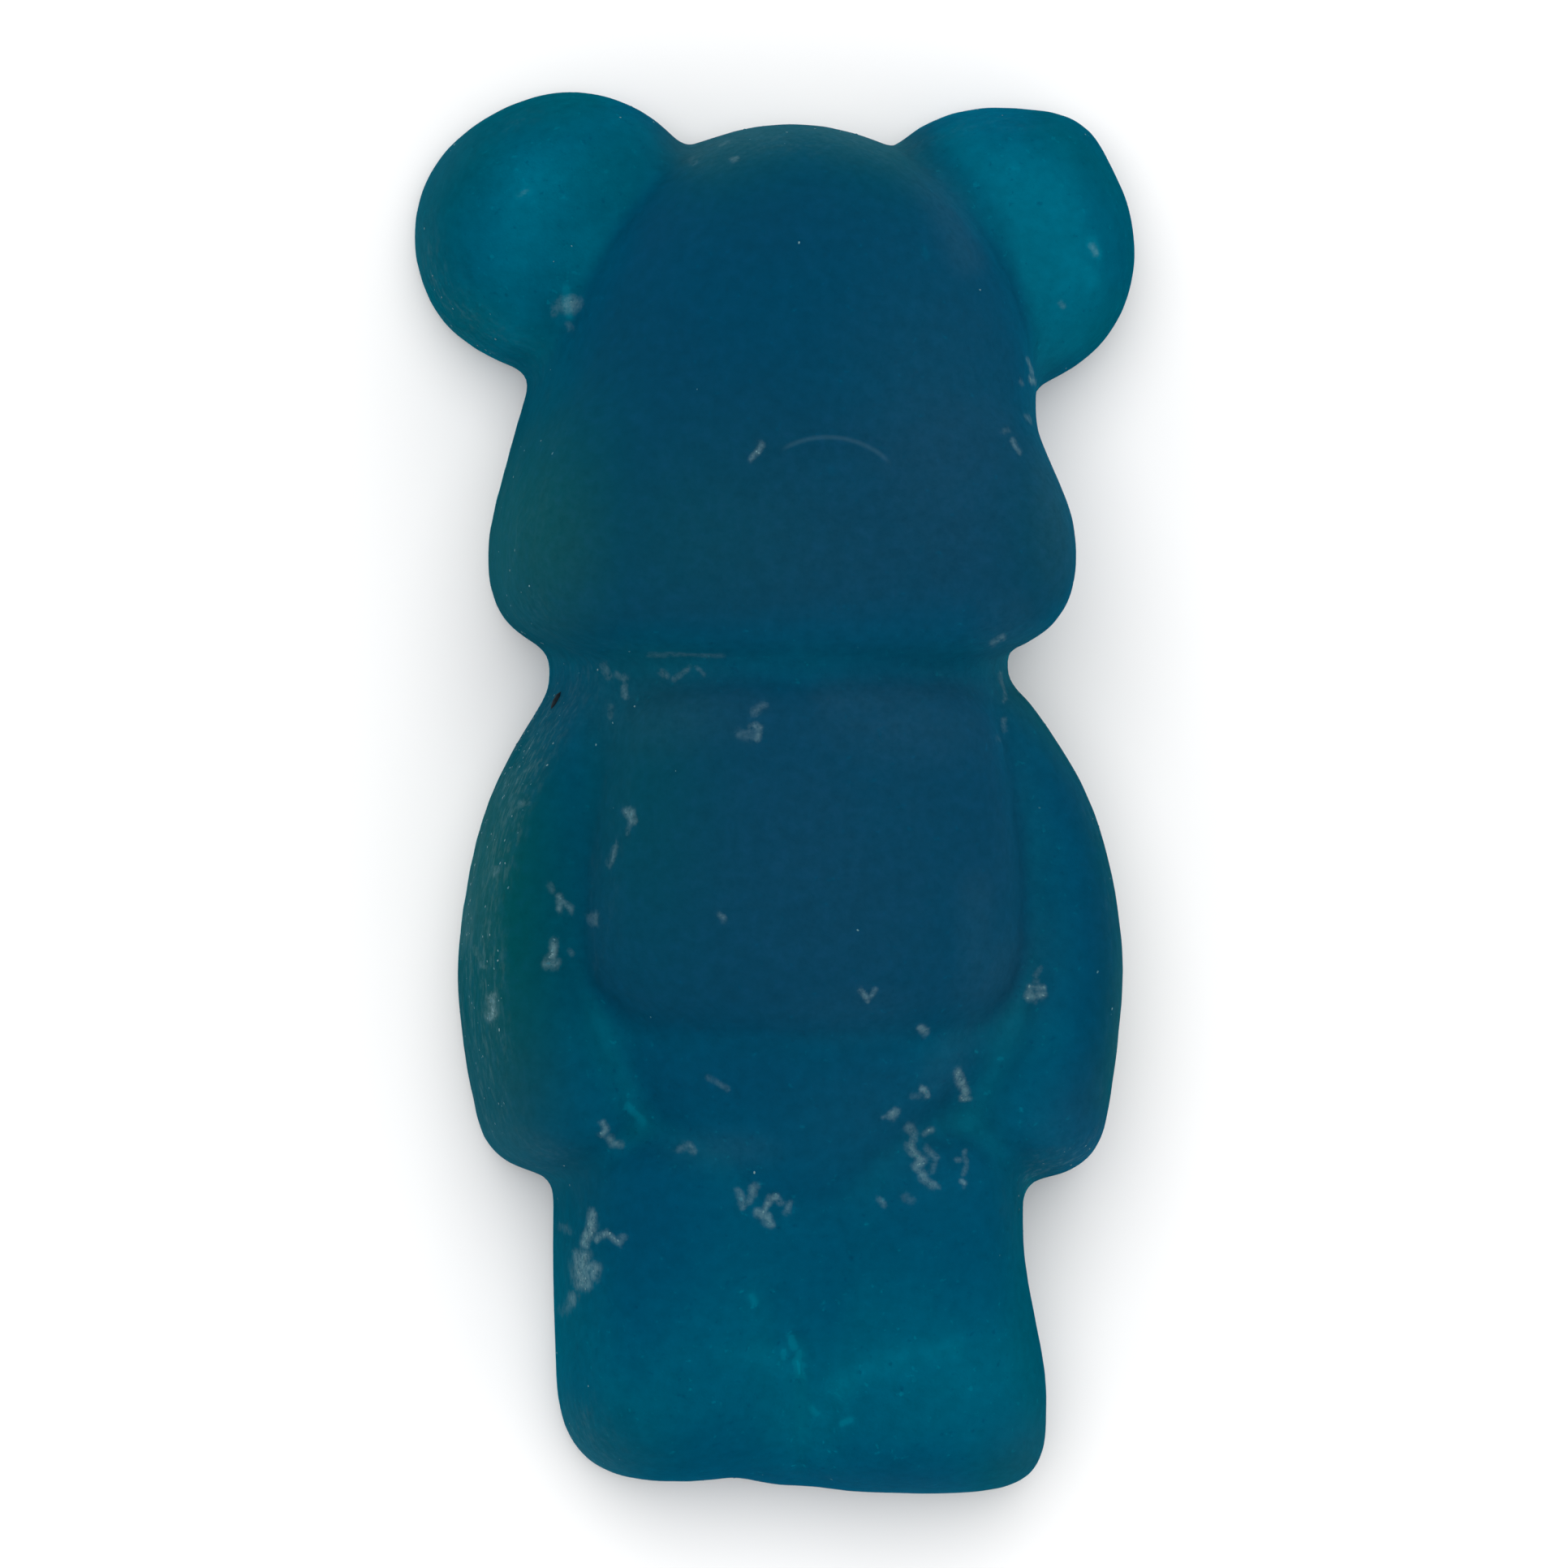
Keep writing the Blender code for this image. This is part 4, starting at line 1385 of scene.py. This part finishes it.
    def sized(self, sketch: NodeSketch, given: object) -> bpy.types.NodeSocket:
        """Draw each grain's length, and its width and height as shares of it.

        Args:
            sketch: The tree being wired.
            given: The tree's inputs.

        Returns:
            The grain's scale along its own axes.
        """
        drawn = sketch.node(
            "FunctionNodeRandomValue",
            {"Min_001": given["Smallest"], "Max_001": given["Largest"], "Seed": given["Seed"]},
            data_type="FLOAT",
        )
        length = sketch.output(drawn, "Value_001")
        made = sketch.node(
            "ShaderNodeCombineXYZ",
            {
                "X": length,
                "Y": sketch.maths("MULTIPLY", length, given["Slimness"]),
                "Z": sketch.maths("MULTIPLY", length, given["Flatness"]),
            },
        )
        return made.outputs["Vector"]

    def build(self, body: bpy.types.Object, finish: StarchFinish) -> bpy.types.Object:
        """Scatter the grains over the body and keep them as a plain mesh of their own.

        Args:
            body: The dressed body, whose mesh says where grains lie.
            finish: What the grains are made of.

        Returns:
            The grains.
        """
        carrier = bpy.data.objects.new("starch_grains", body.data.copy())
        bpy.context.scene.collection.objects.link(carrier)
        scatter = carrier.modifiers.new("scatter", "NODES")
        scatter.node_group = self.tree()
        settings = {
            "Density": self.density / MM**2,
            "Smallest": self.smallest * MM,
            "Largest": self.largest * MM,
            "Slimness": self.slimness,
            "Flatness": self.flatness,
            "Seed": self.seed,
            "Finish": finish.material(),
        }
        for item in scatter.node_group.interface.items_tree:
            if item.name in settings:
                scatter[item.identifier] = settings[item.name]
        evaluated = carrier.evaluated_get(bpy.context.evaluated_depsgraph_get())
        grains = bpy.data.meshes.new_from_object(evaluated)
        carrier.modifiers.remove(scatter)
        carrier.data = grains
        grains.name = "starch_grains"
        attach(carrier, CAD_BODY)
        return carrier


@dataclass
class DarkFleck:
    """The one dark fleck, stuck in the notch under the left cheek."""

    spot: tuple[float, float] = (-4.21, 1.75)
    length: float = 0.35
    width: float = 0.20
    height: float = 0.12
    turn: float = 60.0
    lumpiness: float = 0.16

    def build(self, body: bpy.types.Object, finish: FleckFinish) -> bpy.types.Object:
        """Model the fleck and lay it on the body.

        Args:
            body: The body that carries it.
            finish: What the fleck is made of.

        Returns:
            The fleck.
        """
        spot = Vector(self.spot) * MM
        skin = [vert for vert in body.data.vertices if vert.normal.z > 0.1]
        under = min(skin, key=lambda vert: (vert.co.xy - spot).length)
        bm = bmesh.new()
        bmesh.ops.create_icosphere(bm, subdivisions=3, radius=0.5)
        for vert in bm.verts:
            vert.co *= 1 + self.lumpiness * noise.noise(vert.co * 4)
            vert.co = Vector((vert.co.x * self.length, vert.co.y * self.width, vert.co.z * self.height)) * MM
        turn = math.radians(self.turn)
        across = under.normal.cross(Vector((math.cos(turn), math.sin(turn), 0.0))).normalized()
        along = across.cross(under.normal)
        lie = Matrix((along, across, under.normal)).transposed().to_4x4()
        bm.transform(Matrix.Translation(under.co) @ lie)
        mesh = bpy.data.meshes.new("dark_fleck")
        bm.to_mesh(mesh)
        bm.free()
        mesh.shade_smooth()
        mesh.materials.append(finish.material())
        fleck = bpy.data.objects.new("dark_fleck", mesh)
        bpy.context.scene.collection.objects.link(fleck)
        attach(fleck, CAD_BODY)
        return fleck


@dataclass
class Studio:
    """A pale floor, soft light from above and the camera that looks down on the bear."""

    floor_side: float = 1200.0
    camera_distance: float = 350.0
    camera_tilt: float = 4.5        # degrees from straight above, towards the bear's left
    aim: tuple[float, float, float] = (0.03, 0.166, 2.5)
    view_width: float = 28.92       # what the picture's width takes in at the aim
    sensor: float = 36.0
    key_power: float = 1.30
    key_size: float = 420.0
    key_place: tuple[float, float, float] = (-40.0, 120.0, 500.0)
    sky: Colour = (1.0, 1.0, 1.0, 1.0)
    sky_strength: float = 0.87

    def build(self) -> None:
        """Build the floor, the lights and the camera."""
        self.floor(FloorFinish())
        self.key_light()
        self.sky_light()
        self.camera()

    def floor(self, finish: FloorFinish) -> None:
        """Lay the floor under the bear."""
        mesh = bpy.data.meshes.new("floor")
        bm = bmesh.new()
        bmesh.ops.create_grid(bm, x_segments=1, y_segments=1, size=self.floor_side * MM / 2)
        bm.to_mesh(mesh)
        bm.free()
        mesh.materials.append(finish.material())
        floor = bpy.data.objects.new("floor", mesh)
        bpy.context.scene.collection.objects.link(floor)

    def key_light(self) -> None:
        """Hang the large soft light over the bear's head."""
        light = bpy.data.lights.new("key", "AREA")
        light.shape = "DISK"
        light.size = self.key_size * MM
        light.energy = self.key_power
        lamp = bpy.data.objects.new("key", light)
        lamp.location = Vector(self.key_place) * MM
        lamp.rotation_euler = lamp.location.to_track_quat("Z", "Y").to_euler()
        bpy.context.scene.collection.objects.link(lamp)

    def sky_light(self) -> None:
        """Light the rest evenly from all round."""
        world = bpy.data.worlds.new("studio")
        world.use_nodes = True
        background = world.node_tree.nodes["Background"]
        background.inputs["Color"].default_value = self.sky
        background.inputs["Strength"].default_value = self.sky_strength
        bpy.context.scene.world = world
        bpy.context.scene.view_settings.view_transform = "Standard"

    def camera(self) -> None:
        """Set the camera over the bear."""
        lens = bpy.data.cameras.new("camera")
        lens.sensor_width = self.sensor
        lens.lens = self.sensor * self.camera_distance / self.view_width
        lens.clip_start = 10 * MM
        lens.clip_end = 10.0
        tilt = math.radians(self.camera_tilt)
        back = Vector((-math.sin(tilt), 0.0, math.cos(tilt)))
        up = Vector((0.0, 1.0, 0.0))
        turn = Matrix((up.cross(back), up, back)).transposed().to_4x4()
        place = (Vector(self.aim) + back * self.camera_distance) * MM
        camera = bpy.data.objects.new("camera", lens)
        camera.matrix_world = Matrix.Translation(place) @ turn
        bpy.context.scene.collection.objects.link(camera)
        bpy.context.scene.camera = camera


def report(piece: bpy.types.Object) -> None:
    """Log a finished piece's name and number of faces."""
    log.info("%s: %d faces", piece.name, len(piece.data.polygons))


def main() -> None:
    """Set up the studio, build the bear's pieces in order, and report each one."""
    logging.basicConfig(level=logging.INFO, format="%(message)s")
    Studio().build()
    maker = BearBody()
    body = maker.build()
    maker.dress(body, GumFinish())
    report(body)
    report(StarchGrains().build(body, StarchFinish()))
    report(DarkFleck().build(body, FleckFinish()))


if __name__ == "__main__":
    main()
